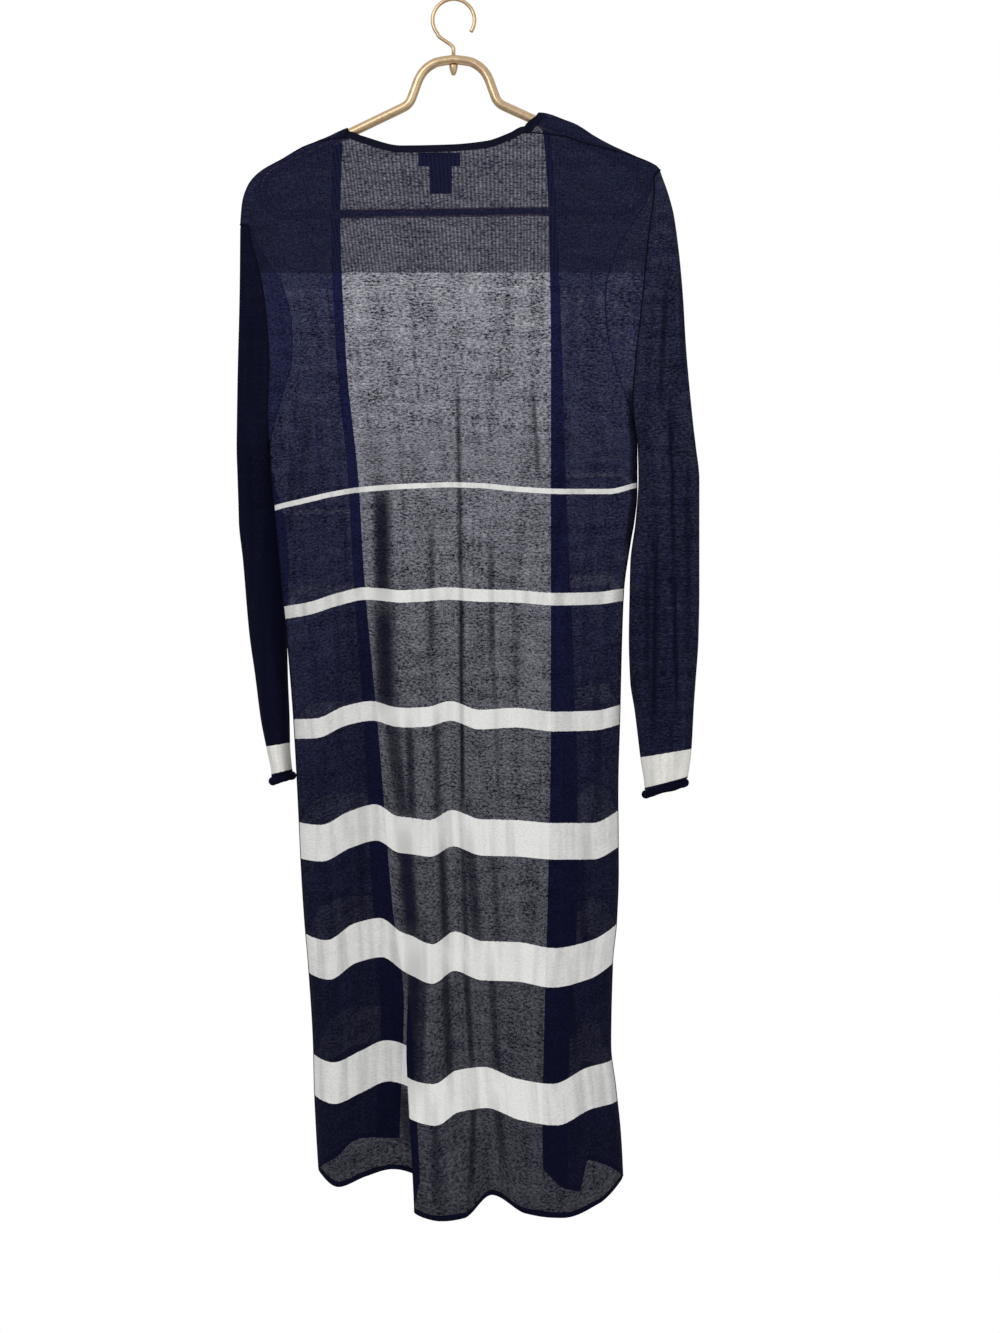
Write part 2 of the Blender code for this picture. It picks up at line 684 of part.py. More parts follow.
def turned(name, profile, finish):
    """A round piece turned from its profile of (radius, down), given from top to bottom."""
    outline = [(0.0, profile[0][1]), *profile, (0.0, profile[-1][1] + FERRULE_POINT)]
    mesh = bmesh.new()
    points = [mesh.verts.new((radius * MM, 0.0, -down * MM)) for radius, down in outline]
    for upper, lower in zip(points, points[1:]):
        mesh.edges.new((upper, lower))
    data = bpy.data.meshes.new(name)
    mesh.to_mesh(data)
    mesh.free()
    data.materials.append(finish)
    made = bpy.data.objects.new(name, data)
    screw = made.modifiers.new("turn", "SCREW")
    screw.steps = FERRULE_SIDES
    screw.render_steps = FERRULE_SIDES
    screw.use_merge_vertices = True
    screw.merge_threshold = WELD
    return made


def neck_band_rows():
    """The rows of the neck trim, from the neck edge of the back upwards."""
    first, last = (share_of_corner(corner) for corner in (LEFT_NECK_POINT, RIGHT_NECK_POINT))
    clear = 2 * SEAM / top_lengths()[-1]
    shares = [s for s in BACK_COLUMNS if first + 3 * clear < s < last - 3 * clear]
    rows = []
    for up in NECK_ROWS:
        row = []
        for share in [first + clear, *shares, last - clear]:
            x, down, _, normal = along_top_edge(share)
            lean = NECK_TRIM_LEAN * math.sin(math.pi * (share - first) / (last - first)) ** 0.5
            rise = SEAM + up * NECK_TRIM
            row.append((x - normal[0] * rise, down - normal[1] * rise, up * lean - NECK_TRIM_Y))
        rows.append(row)
    return rows


def label_rows(label, off_back):
    """A label's rows, made from the back's points where it lies and moved to the inside."""
    rows = []
    for down in np.linspace(label["top"], label["bottom"], LABEL_POINTS):
        xs = np.linspace(label["left"], label["right"], LABEL_POINTS)
        rows.append([(x, down, off_back - LAP) for x in xs])
    return rows


def clear_scene():
    for found in list(bpy.data.objects):
        bpy.data.objects.remove(found)


def build():
    clear_scene()
    collection = bpy.data.collections.new("duster_cardigan")
    cutters = bpy.data.collections.new("cutters")
    bpy.context.scene.collection.children.link(collection)
    bpy.context.scene.collection.children.link(cutters)

    navy = material("navy_knit", (0.012, 0.016, 0.045), 0.9)
    trim = material("navy_trim", (0.006, 0.008, 0.022), 0.85)
    gold = material("gold_bar", (0.60, 0.40, 0.20), 0.35, 0.9)
    dark_label = material("dark_label", (0.008, 0.009, 0.016), 0.7)

    made = []
    made.append(hanger_frame(collection, cutters, gold))
    made.append(as_mesh(tube("hanger_hook", hook_line(), HOOK_WIRE, False, gold), collection))
    made.append(turned("hanger_ferrule", FERRULE, gold))

    body_rows = ARMHOLE_ROWS + BODY_ROWS
    made.append(wall("back", [back_row(row) for row in LAP_ROWS_BACK + body_rows], WALL, navy))
    for side in ("left", "right"):
        front_rows = LAP_ROWS_FRONT + body_rows
        made.append(wall(f"front_{side}", [front_row(side, row) for row in front_rows], WALL, navy))
        band_rows = [front_band_row(side, row) for row in front_rows]
        made.append(wall(f"front_band_{side}", band_rows, WALL, trim))
        rows = [sleeve_top_row(side)]
        rows += [sleeve_armhole_row(side, way) for way in ARMHOLE_ROWS[1:]]
        lower = SLEEVE_ROWS_LEFT if side == "left" else SLEEVE_ROWS_RIGHT
        rows += [sleeve_row(side, down) for down in lower]
        made.append(wall(f"sleeve_{side}", rows, WALL, navy))
    made.append(wall("neck_band", neck_band_rows(), BAND_WALL, trim))
    off = WALL / 2 + SEAM + LABEL_WALL / 2
    made.append(wall("neck_label", label_rows(NECK_LABEL, off), LABEL_WALL, dark_label))
    off += SEAM + LABEL_WALL
    made.append(wall("care_label", label_rows(CARE_LABEL, off), LABEL_WALL, dark_label))
    for found in made:
        collection.objects.link(found)


build()
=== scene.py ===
"""The look of a long knitted duster cardigan on a gold hanger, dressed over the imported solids.

The tables are in millimetres. "down" is measured down from the hold point, the inside top of the hook, x runs
to the wearer's right and y from the back of the garment to its front. A row runs from -1 to 0 round the
hanger's arm, from 0 to 1 down to the underarm, and from 1 to 8 over the courses; a share runs across a piece.
"""

import math
from bisect import bisect_right
from functools import lru_cache, partial

import bmesh
import bpy
import numpy as np
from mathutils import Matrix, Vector


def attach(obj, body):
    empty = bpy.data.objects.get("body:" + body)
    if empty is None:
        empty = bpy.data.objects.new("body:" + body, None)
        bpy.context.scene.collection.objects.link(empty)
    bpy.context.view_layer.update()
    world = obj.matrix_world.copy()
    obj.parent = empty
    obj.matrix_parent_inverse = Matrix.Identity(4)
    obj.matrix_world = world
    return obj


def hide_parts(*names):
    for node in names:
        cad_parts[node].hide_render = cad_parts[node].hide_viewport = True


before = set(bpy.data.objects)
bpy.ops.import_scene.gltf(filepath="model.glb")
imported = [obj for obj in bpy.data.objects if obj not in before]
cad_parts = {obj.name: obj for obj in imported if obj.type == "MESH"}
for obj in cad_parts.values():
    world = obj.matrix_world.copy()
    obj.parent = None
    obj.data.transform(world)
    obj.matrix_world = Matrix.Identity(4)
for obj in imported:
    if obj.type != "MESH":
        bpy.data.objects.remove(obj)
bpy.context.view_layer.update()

MM = 0.001
WALL = 1.2
BAND_WALL = 1.8
LABEL_WALL = 1.0
SEAM = 0.3
OUTLINE_TO_MIDDLE = WALL / 2

# For each side, the way out from the middle and the place of its seam as a share of the back's width
SIGN = {"left": -1, "right": 1}
SEAM_END = {"left": 0.0, "right": 1.0}

# The bent bar of the hanger
BAR_RADIUS = 5.0
ARM_SLOPE = math.radians(25.1)
HANGER_TILT = math.radians(0.8)
FOOT_X = 46.2
FOOT_DOWN = 108.0
LOWER_BAR_DOWN = 222.0
TIP_BEND = 25.5
FOOT_ROUND = 7.0
ARCH = ((41.0, 93.5), (36.0, 80.5), (29.0, 71.0), (17.0, 64.0), (0.0, 61.5))

# The hook and the ferrule under the arch
HOOK_WIRE = 2.0
HOOK_BEND = 20.0
HOOK_TIP_TURN = math.radians(255)
FERRULE = ((2.6, 66.5), (4.6, 68.2), (4.4, 70.0), (3.4, 74.0), (1.5, 78.0))

# How the cloth lies over an arm: the radius of its fold, and how far the fold's rows reach past it
LAP = 5.45
LAP_END = 3.0

# The top edge of the back, from the left armhole to the right one; drop is its distance below the fold
# over the arm, and the middle stretch, with a large drop, is the neck
TOP_EDGE = (
    # x, down, drop
    (-223.4, 235, 0),
    (-221.4, 212, 0),
    (-215.2, 193.4, 0),
    (-203.6, 180.2, 0),
    (-180, 166.8, 0.4),
    (-154, 152.4, 0.8),
    (-136, 147.2, 3),
    (-112, 144, 10.6),
    (-98, 148.6, 20),
    (-55, 159, 20),
    (-4, 158, 20),
    (36, 154, 20),
    (62, 145, 20),
    (75, 139, 22),
    (111, 142, 16),
    (141, 151, 10.4),
    (167.5, 157.5, 4.6),
    (212, 173, 0),
    (216.5, 177.5, 0),
)

# The rows of that table where the neck starts and ends
LEFT_NECK_POINT = 7
RIGHT_NECK_POINT = 13

# How far each armhole edge is hollowed in from a straight line between the shoulder (0) and the underarm (1)
ARMHOLE = (
    # way, left back, left front, right back, right front
    (0.00, 0, 0, 0, 0),
    (0.09, 2, 8, -1.5, 5),
    (0.18, 6, 19, 0, 17),
    (0.30, 9, 31, 1.3, 33),
    (0.45, 10, 35, 2, 41),
    (0.60, 9, 32, 3, 37),
    (0.75, 5, 20, 4.5, 26),
    (0.88, 1.5, 8.5, 4.5, 11),
    (1.00, 0, 0, 0, 0),
)
ARMHOLE_CLEAR = 0.45
ARMHOLE_ROUND_FROM = 0.72

# The outline of the body below the underarm
SIDES = (
    # down, left, right
    (445, -194, 190.1),
    (466, -193.8, 193),
    (516, -190, 193),
    (546, -187, 190),
    (566, -185, 186.5),
    (620, -180, 179),
    (671, -175, 177),
    (751, -168.5, 175),
    (830, -164, 173),
    (914, -160, 173.5),
    (968, -156.5, 171.5),
    (1008, -153, 167.5),
    (1096, -147.5, 165.5),
    (1139, -146.5, 170.5),
    (1192, -144, 176),
    (1240, -141, 178.5),
)

# The courses of the back: each hangs below its level at the left seam by the given drop at each share of
# the width, and its folds stand out behind the wearer by the given depth
SHARES = (0.00, 0.07, 0.16, 0.24, 0.31, 0.34, 0.41, 0.48, 0.57, 0.68, 0.80, 0.92, 1.00)
COURSE_LEVEL = (466, 530, 636, 754, 862, 979, 1105, 1226)
COURSE_DROP = (
    (0, -3, -8, -12, -14, -15, -17, -18, -19, -20, -20, -21, -21),
    (0, -6, -14, -19, -21, -22, -23, -24, -23, -19, -17, -17, -24),
    (0, -4, -14, -20, -18, -17, -18, -20, -18, -17, -14, -15, -19),
    (0, -1, -14, -19, -13, -12, -13, -19, -10, -12, -8, -9, -15),
    (0, 2, -12, -19, -7, -6, -3, -13, -4, -3, 0, 0, -12),
    (0, 5, -12, -17, -3, 0, 9, -3, 6, 7, 13, 5, -10),
    (0, 6, -5, -15, -5, 20, 28, 15, 12, 23, 28, 12, 6),
    (0, 14, 4, -1, 7, 40, 49, 47, 25, 42, 46, 33, 8),
)
COURSE_DEPTH = (
    (0, 0, 0, 0, 0, 0, 0, 0, 0, 0, 0, 0, 0),
    (0, 1, 0, -1, 0, 0, 1, 0, 1, 1, 0, 0, 0),
    (0, 3, 0, -3, 0, 1, 2, -2, 2, 2, 3, 1, 0),
    (0, 4, 0, -5, 1, 2, 3, -4, 3, 3, 5, 2, 0),
    (0, 6, 0, -6, 2, 3, 6, -6, 4, 4, 7, 4, 0),
    (0, 7, -1, -8, 2, 4, 9, -6, 4, 6, 9, 4, 0),
    (0, 8, -1, -9, -2, 9, 12, 3, -2, 7, 11, 0, 0),
    (0, 10, 1, -9, -4, 11, 14, 10, -6, 9, 13, 3, 0),
)
HEM = len(COURSE_LEVEL)

# Half the depth of the body behind and before its side seams, by row
BODY_DEPTH = (
    # row, back, front
    (0, 5.4, 5.4),
    (0.25, 5.4, 5.4),
    (0.6, 8, 7),
    (1, 12, 11),
    (3, 15, 13),
    (5, 18, 15),
    (8, 22, 18),
)
SIDE_ROUND = 13.0

# The fronts: where each front edge hangs, the width of its band and the lift of its hem over the back's
FRONT_EDGE = (
    # down, left edge, right edge, left band, right band
    (120, -112.5, 89.5, 6, 6),
    (145, -116.5, 95, 6, 6),
    (225, -119, 100, 6.5, 7),
    (376, -113, 102.4, 8, 11),
    (507, -100, 102.4, 10, 15),
    (595, -95, 102.4, 10.5, 19),
    (768, -79.5, 102.4, 14, 26),
    (952, -64.6, 99, 20, 31),
    (1056, -52.5, 96, 24, 27),
    (1197, -57, 93.5, 24, 26),
    (1250, -57, 95, 24, 26),
)
FRONT_SHARES = (0, 0.2, 0.42, 0.55, 0.75, 1)
FRONT_HEM_DROP = {"left": (0, -8, -26, -29, -29, -29), "right": (0, -8, -14, 20, 16, -4)}
FRONT_FOLD_DEPTH = {"left": (0, 3, -1, 3, 4, 0), "right": (0, 3, -2, 3, 4, 1)}
FRONT_FOLDS_FROM = 2.0

# The sleeves, by the distance down: outline, the middle of their depth and half of it
SLEEVES = {
    "left": (
        # down, outer, inner, middle, half depth
        (235, -224.6, -223, 0, 5.4),
        (300, -225.2, -200, 0, 8.5),
        (400, -227.5, -196, 0, 11),
        (466, -228.4, -193.2, 0, 11.5),
        (500, -228.6, -190, 14, 13),
        (542, -228.4, -178, 27, 14.5),
        (587, -224, -174.5, 29, 15.5),
        (664, -217, -175.6, 25, 17),
        (708, -210.5, -174.6, 21, 19),
        (755, -204, -172.6, 18, 20),
        (784, -198, -172, 17, 20.5),
        (812, -193, -169.5, 17, 20.5),
        (821, -196, -165.5, 17, 21),
    ),
    "right": (
        (177.5, 217, 216, 0, 5.4),
        (188, 221, 214, 0, 5.6),
        (202, 226, 212, 0, 6),
        (228, 232.6, 210, 0, 7),
        (303, 241, 200, 0, 10),
        (366, 245, 195, 0, 11.5),
        (445, 252.4, 189.9, 0, 11.5),
        (466, 254.9, 192.6, 0, 12.5),
        (503, 258.8, 193.4, 0, 14),
        (545, 258.8, 190.6, 0, 16),
        (589, 258.8, 185, 0, 17),
        (620, 258.8, 184.2, 0, 17),
        (671, 257.8, 183.4, 0, 16),
        (713, 255, 184.8, 0, 15),
        (743, 253, 189.5, 0, 14),
        (792, 250.4, 195.8, 0, 13),
        (822, 246.5, 200, 0, 12.5),
        (831, 245, 198, 0, 13),
    ),
}
CUFF_TILT = {"left": 3, "right": 6.5}
CUFF_TILT_FROM = 700.0
SHOULDER_DOWN = {"left": 235, "right": 177.5}
UNDERARM_DOWN = {"left": 466, "right": 445}
CAP_LIFT_ENDS = 0.3

# The neck trim above the neck edge of the back
NECK_TRIM = 6.4
NECK_TRIM_LEAN = 1.2
NECK_TRIM_Y = LAP + (BAND_WALL - WALL) / 2

# The labels inside the back of the neck
NECK_LABEL = {"left": -37, "right": 7, "top": 159.8, "bottom": 174.3}
CARE_LABEL = {"left": -25, "right": -1.6, "top": 163, "bottom": 202.7}

# How far in the armholes' hollows reach, over what part of the lap the fronts shift to their edges, and how
# far apart the places are that give the slope of the top edge
ARMHOLE_REACH = 0.3
FRONT_SHIFT_OVER = 0.6
SLOPE_REACH = 2.0

# The bends of the hanger, and how finely its pieces are drawn
FOOT_LEAN = 0.35
HOOK_START = math.radians(40)
HOOK_NECK = 16.0
FERRULE_POINT = 0.4
ARCH_STEPS = 26
FOOT_STEPS = 8
TIP_STEPS = 30
HOOK_STEPS = 60
HOOK_NECK_STEPS = 14
PIN_STEPS = 30
BAR_SIDES = 24
HOOK_SIDES = 16
PIN_SIDES = 28

# The threads of the seams, and how far out from the edge the armhole's one lies
SEAM_THREAD = 0.85
SEAM_OUT = 0.4
THREAD_SIDES = 6

# The neck trim: its foot over the back's edge, and the ends that taper out over the shoulders
TRIM_OVERLAP = 1.2
TRIM_END_STEPS = 14
TRIM_END_ROW = -0.55
TRIM_END_RISE = (0.83, -0.555)
TRIM_END_HEIGHT = 0.05
TRIM_STEPS = 90
TRIM_STITCH = 2.2
TRIM_FACE_STEPS = 8
TRIM_FOLD_STEPS = 9
BAND_STEPS = 11
BAND_UNDER = 1.0
LABEL_STEPS = 14
LABEL_CURL = 0.5

# The share of light that each knit lets through at OPEN_AT down it, in metres, and how far further down that
# share falls to a third
BACK_OPEN = 0.185
FRONT_OPEN = 0.10
# The left sleeve's share is the smaller as painted shade, since that sleeve hangs in shadow
SLEEVE_OPEN_WITH_SHADE = {"left": 0.03, "right": 0.10}
YOKE_OPEN = 0.070
WHITE_OPEN = 0.10
OPEN_AT = 0.335
BACK_FALL = 0.48
FRONT_FALL = 1.2

# The knit's slubs, specks, clouds and streaks: how many in a metre across and down it, and their contrast
SLUBS = (230.0, 520.0)
SPECKS = (500.0, 800.0)
CLOUDS = (30.0, 90.0)
STREAKS = (75.0, 5.0)
SLUB_CONTRAST = 4.6
SPECK_CONTRAST = 3.6
CLOUD_CONTRAST = 1.6
STREAK_CONTRAST = 1.3
YOKE_STREAK = 0.2
RAGGED_EDGE = 0.0014

# The ribs of the yoke and the trims, and the relief of the knits, in mm
RIB_PITCH = 3.4
RIB_CONTRAST = 0.5
RIB_HEIGHT = 0.3
SLUB_HEIGHT = 0.35
TRIM_RIB = (2.2, 0.25)
NECK_RIB = (2.4, 0.3)
TRIM_SPECKS = (300.0, 500.0)
TRIM_RIB_CONTRAST = 0.3
TRIM_SPECK_HEIGHT = 0.2
LABEL_WEAVE = (1800.0, 500.0)
LABEL_WEAVE_HEIGHT = 0.05

# Colours: the navy knit, its ribs and its thin places, which take a painted backlight, the whites with their
# painted shade in creases and streaks, the trims, the labels and the hanger
NAVY = (0.0030, 0.0034, 0.0140)
NAVY_RIB = (0.0125, 0.0145, 0.038)
NAVY_BACKLIT = (0.017, 0.021, 0.082)
BACKLIT_TINT = 4.0
BACKLIT_FROM = 0.10
WHITE_DEEP = (0.70, 0.70, 0.685)
WHITE_LIGHT = (0.92, 0.92, 0.90)
WHITE_FOLD_SHADE = (0.56, 0.56, 0.55)
CUFF_DEEP = (0.86, 0.85, 0.79)
CUFF_LIGHT = (0.98, 0.97, 0.91)
TRIM_DEEP = (0.0035, 0.004, 0.012)
TRIM_LIGHT = (0.011, 0.012, 0.028)
THREAD = (0.003, 0.0035, 0.011)
LABEL_DEEP = (0.008, 0.009, 0.014)
LABEL_LIGHT = (0.02, 0.021, 0.03)
GOLD_DEEP = (0.52, 0.36, 0.20)
GOLD_LIGHT = (0.84, 0.64, 0.41)

# How the whites and the gold follow their noise, each as (times, plus), and the gold's grains in a metre; the
# whites' streaks are painted shade
WHITE_GRAIN = (1.8, -0.35)
WHITE_STREAK_SHADE = (3.0, -1.35)
GOLD_ROUGHNESS = (0.2, 0.22)
GOLD_GRAINS = 180.0

# The camera, level and square to the back, and the studio
CAMERA_AWAY = 3.4
VIEW_HEIGHT = 1.3997
VIEW_CENTRE = (0.0488, -0.6988)
FLOOR_RADIUS = 0.65
FLOOR_Z = -1.55
FLOOR_SIDES = 64
BACKGROUND = 1.0
SOFT_LIGHT_LOW = 0.32
SOFT_LIGHT_HIGH = 0.78
LIGHTS = (
    # name, place, aim, size, power
    ("key", (-1.2, -2.4, 0.6), (0.0, 0.0, -0.5), 1.6, 26.0),
    ("fill", (1.6, -2.0, -0.4), (0.0, 0.0, -0.7), 1.8, 6.0),
)
PAPER = (0.9, 0.9, 0.9)

# How finely the cloth is drawn
SIDE_ARC = (0.0, 15.0, 30.0, 45.0, 60.0, 75.0, 90.0)
LAP_STEPS = 12
ARM_STEPS = 56
COURSE_STEPS = 24
BACK_STEPS = 150
FRONT_STEPS = 44
SLEEVE_QUARTER = 16
SLEEVE_STEPS = 150
WELD = 0.00001

# The knit: heights of the white stripes under the courses 2 to 7, the yoke's edge, and the widths that the
# stitches are counted over
STRIPE_HEIGHTS = (5.5, 13.0, 20.5, 38.0, 41.0, 43.0)
YOKE_DOWN = {"back": 286.0, "front": 302.0}
KNIT_WIDTH = 400.0
FRONT_KNIT_SHARE = 0.45
SLEEVE_GIRTH = {"left": 125.0, "right": 150.0}
STRIPE_CLEAR = 52.0
RISE_REACH = 0.2

# How far the stripes of the fronts stand above their place at the side seam, by row
FRONT_STRIPE_RISE = (
    # row, left, right
    (1, 0, 6),
    (2, -4, 13),
    (3, 24, 16),
    (4, 13, 21),
    (5, 22, 22),
    (6, 25, 20),
    (7, 29, 29),
    (8, 29, 29),
)
CUFF_BAND = {"left": (781, 809.5), "right": (789.5, 820)}

# The rolled edges: radius of each roll, how far the sleeve draws in above it in radii and over what length,
# how far round it turns, and how it swells and gathers
HEM_ROLL = 2.8
CUFF_ROLL = 4.3
CUFF_DRAWN = 1.55
CUFF_DRAWN_OVER = 4.5
ROLL_TURN = math.radians(300)
ROLL_STEPS = 12
ROLL_GATHER = 0.85
ROLL_WAVE = 0.06
ROLL_WAVES = (3, 7)

# The pleat that laps over its left neighbour near the hem: its place and its fold's half width as shares of
# the back's width, how far the edges shift, over how many half widths, how far they stand out, and its rows
PLEAT_SHARE = 0.325
PLEAT_EDGE = 0.014
PLEAT_LAP = 10.0
PLEAT_REACH = 5.0
PLEAT_STAND = 2.2
PLEAT_ROWS = (6.1, 6.9)

# How much wider, deeper and closer than their tables the creases are, how much painted shade their closing
# brings, and how they taper past both ends
CREASE_WIDTH = 1.3
CREASE_DEPTH = 1.4
CREASE_GATHER_AND_SHADE = 1.3
MOST_GATHER_AND_SHADE = 0.93
CREASE_TAPER = 0.2

# Creases run between two places, stand out by a depth, draw the knit together and bring painted shade
BACK_CREASES = (
    # x, down, x, down, half width, depth, gathering and painted shade
    (4.5, 405, 8, 620, 1.7, 1.2, 0.62),
    (8, 600, 9.5, 860, 2, 1.5, 0.72),
    (9, 850, 14, 1010, 2.4, 1.8, 0.55),
    (12, 1000, 20, 1120, 2.6, 1.6, 0.6),
    (-75, 508, -73, 640, 7.5, 2.2, 0.75),
    (-73, 630, -70, 750, 9, 2.4, 0.85),
    (-66, 745, -52, 862, 6, 2, 0.6),
    (-52, 862, -42, 985, 7, 2.2, 0.7),
    (-40, 985, -36, 1140, 7, 2, 0.7),
    (-22.6, 549, -23, 690, 2.6, 1, 0.45),
    (-46.2, 750, -43, 862, 3.4, 1.4, 0.6),
    (-17.9, 745, -16, 862, 3, 1.2, 0.55),
    (-13, 870, -8, 990, 3.4, 1.6, 0.65),
    (15.8, 870, 26, 990, 4.2, 1.5, 0.5),
    (-31, 975, -29, 1140, 3, 1.3, 0.55),
    (-9, 1000, -3, 1140, 3.2, 1.3, 0.6),
    (40, 870, 48, 990, 2.6, 0.9, 0.35),
    (38, 1000, 46, 1120, 3, 1.2, 0.45),
    (22, 1140, 18, 1245, 2.4, 1.4, 0.6),
    (44, 1145, 52, 1215, 3, 1, 0.4),
    (38.8, 570, 41, 700, 2.6, 0.9, 0.45),
    (42, 690, 46, 800, 2, 0.8, 0.35),
    (-18, 1150, -14, 1250, 2.6, 0.9, 0.4),
    (-60, 1140, -52, 1200, 4, 1.2, 0.5),
    (83, 405, 89, 500, 1.8, 0.8, 0.5),
    (62, 590, 66, 740, 2, 0.6, 0.25),
    (-100, 820, -96, 960, 3, 1, 0.3),
    (-122, 640, -118, 800, 3, 0.9, 0.25),
    (132, 880, 138, 1010, 3, 1, 0.4),
    (150, 700, 152, 860, 3, 0.8, 0.3),
    (120, 1000, 128, 1110, 2.6, 1, 0.4),
    (-168, 480, -172, 560, 3.5, 1, 0.3),
    (-150, 420, -160, 520, 3, 0.8, 0.25),
)
SLEEVE_CREASES = {
    "left": (
        (-216, 470, -214, 620, 2.5, 1.2, 0.5),
        (-207, 600, -200, 740, 2.5, 1.4, 0.5),
        (-213, 330, -214, 430, 2.5, 0.8, 0.4),
    ),
    "right": (
        (227, 430, 230, 590, 1.6, 1.3, 0.7),
        (230, 590, 233.5, 745, 1.8, 1.4, 0.7),
        (211.6, 560, 209.5, 760, 2.6, 2, 0.9),
        (202, 600, 203, 720, 2, 1, 0.5),
        (245, 480, 246, 700, 2.4, 1, 0.4),
        (238, 250, 241, 400, 2.4, 0.8, 0.4),
        (222, 300, 216, 430, 2.4, 0.8, 0.5),
    ),
}

# Painted shade where cloth lies deep between its neighbours and hardly any light reaches it, which closes the
# knit
# there: the left sleeve from this x towards the body, as (down, x), and the right side of the back, as (top,
# bottom, width)
LEFT_SLEEVE_PAINTED_SHADE = ((440, -196), (495, -191), (579, -203), (629, -200), (693, -189), (740, -172))
RIGHT_SIDE_PAINTED_SHADE = (405, 590, 9.5)
PAINTED_SHADE_ENDS = 30
PAINTED_SHADE_EDGE = 6
DARKEST_PAINTED_SHADE = 0.85


class Curve:
    """A smooth curve through points with rising x, which never overshoots them."""

    def __init__(self, xs, ys):
        self.xs, self.ys = [float(x) for x in xs], [float(y) for y in ys]
        slopes = [(b - a) / (r - q) for q, r, a, b in zip(self.xs, self.xs[1:], self.ys, self.ys[1:])]
        inner = [2 * a * b / (a + b) if a * b > 0 else 0.0 for a, b in zip(slopes, slopes[1:])]
        self.tangents = [slopes[0], *inner, slopes[-1]]

    def __call__(self, x):
        xs, ys = self.xs, self.ys
        x = min(max(x, xs[0]), xs[-1])
        i = min(bisect_right(xs, x) - 1, len(xs) - 2)
        step = xs[i + 1] - xs[i]
        t = (x - xs[i]) / step
        start = (1 + 2 * t) * (1 - t) ** 2 * ys[i] + t * (1 - t) ** 2 * step * self.tangents[i]
        end = t * t * (3 - 2 * t) * ys[i + 1] + t * t * (t - 1) * step * self.tangents[i + 1]
        return start + end


def curves(table):
    """One curve for each column of a table after its first."""
    first, *others = zip(*table)
    return [Curve(first, other) for other in others]


def blend(a, b, share):
    return a + (b - a) * share


def smooth(x):
    x = min(max(x, 0.0), 1.0)
    return x * x * (3 - 2 * x)


TOP_LENGTHS = [0.0]
for here, there in zip(TOP_EDGE, TOP_EDGE[1:]):
    TOP_LENGTHS.append(TOP_LENGTHS[-1] + math.dist(here[:2], there[:2]))
TOP_CURVES = [Curve(TOP_LENGTHS, column) for column in zip(*TOP_EDGE)]
LEFT_NECK_SHARE = TOP_LENGTHS[LEFT_NECK_POINT] / TOP_LENGTHS[-1]
RIGHT_NECK_SHARE = TOP_LENGTHS[RIGHT_NECK_POINT] / TOP_LENGTHS[-1]

ARMHOLE_HOLLOWS = dict(zip(("left back", "left front", "right back", "right front"), curves(ARMHOLE)))
SIDE_OUTLINES = dict(zip(("left", "right"), curves(SIDES)))
DEPTHS = dict(zip(("back", "front"), curves(BODY_DEPTH)))
EDGE_CURVES = curves(FRONT_EDGE)
FRONT_EDGES = {"left": EDGE_CURVES[0], "right": EDGE_CURVES[1]}
BAND_WIDTHS = {"left": EDGE_CURVES[2], "right": EDGE_CURVES[3]}
HEM_DROPS = {side: Curve(FRONT_SHARES, drops) for side, drops in FRONT_HEM_DROP.items()}
FRONT_FOLDS = {side: Curve(FRONT_SHARES, depths) for side, depths in FRONT_FOLD_DEPTH.items()}
SLEEVE_CURVES = {side: curves(table) for side, table in SLEEVES.items()}
LEVELS = Curve(range(1, HEM + 1), COURSE_LEVEL)
DROP_LINES = [Curve(SHARES, line) for line in COURSE_DROP]
DEPTH_LINES = [Curve(SHARES, line) for line in COURSE_DEPTH]
LEFT_SLEEVE_SHADE_LINE = curves(LEFT_SLEEVE_PAINTED_SHADE)[0]
STRIPE_RISES = dict(zip(("left", "right"), curves(FRONT_STRIPE_RISE)))


@lru_cache(maxsize=None)
def along_top_edge(share):
    """(x, down, drop, inward normal) on the top edge at a share of its length."""
    at = share * TOP_LENGTHS[-1]
    x, down, drop = (curve(at) for curve in TOP_CURVES)
    near = (max(at - SLOPE_REACH, 0.0), min(at + SLOPE_REACH, TOP_LENGTHS[-1]))
    run = TOP_CURVES[0](near[1]) - TOP_CURVES[0](near[0])
    fall = TOP_CURVES[1](near[1]) - TOP_CURVES[1](near[0])
    length = math.hypot(run, fall)
    return x, down, drop, (-fall / length, run / length)


def lap_length(drop):
    """How far round the arm a point lies from the top of the fold, for its drop below that top."""
    if drop < LAP:
        return LAP * math.acos(1 - drop / LAP)
    return LAP * math.pi / 2 + drop - LAP


def lap_place(length):
    """(distance in from the fold's top, y) at a length round the arm; behind it the length is positive."""
    quarter = LAP * math.pi / 2
    side = 1 if length > 0 else -1
    if abs(length) < quarter:
        angle = abs(length) / LAP
        return LAP * (1 - math.cos(angle)), -side * LAP * math.sin(angle)
    return LAP + abs(length) - quarter, -side * LAP


def lap_point(share, length):
    """(x, down, y) on the cloth at a length round the arm from the fold's top."""
    x, down, drop, normal = along_top_edge(share)
    inward, y = lap_place(length)
    inward -= lap_place(lap_length(drop))[0]
    return x + normal[0] * inward, down + normal[1] * inward, y


def roundness(way):
    """1 where an armhole edge lies flat on the body, falling to 0 at the underarm."""
    if way >= 1:
        return 0.0
    low = max(0.0, (way - ARMHOLE_ROUND_FROM) / (1 - ARMHOLE_ROUND_FROM))
    return math.sqrt(1 - low * low)


def side_x(side, down):
    return SIDE_OUTLINES[side](down) - SIGN[side] * OUTLINE_TO_MIDDLE


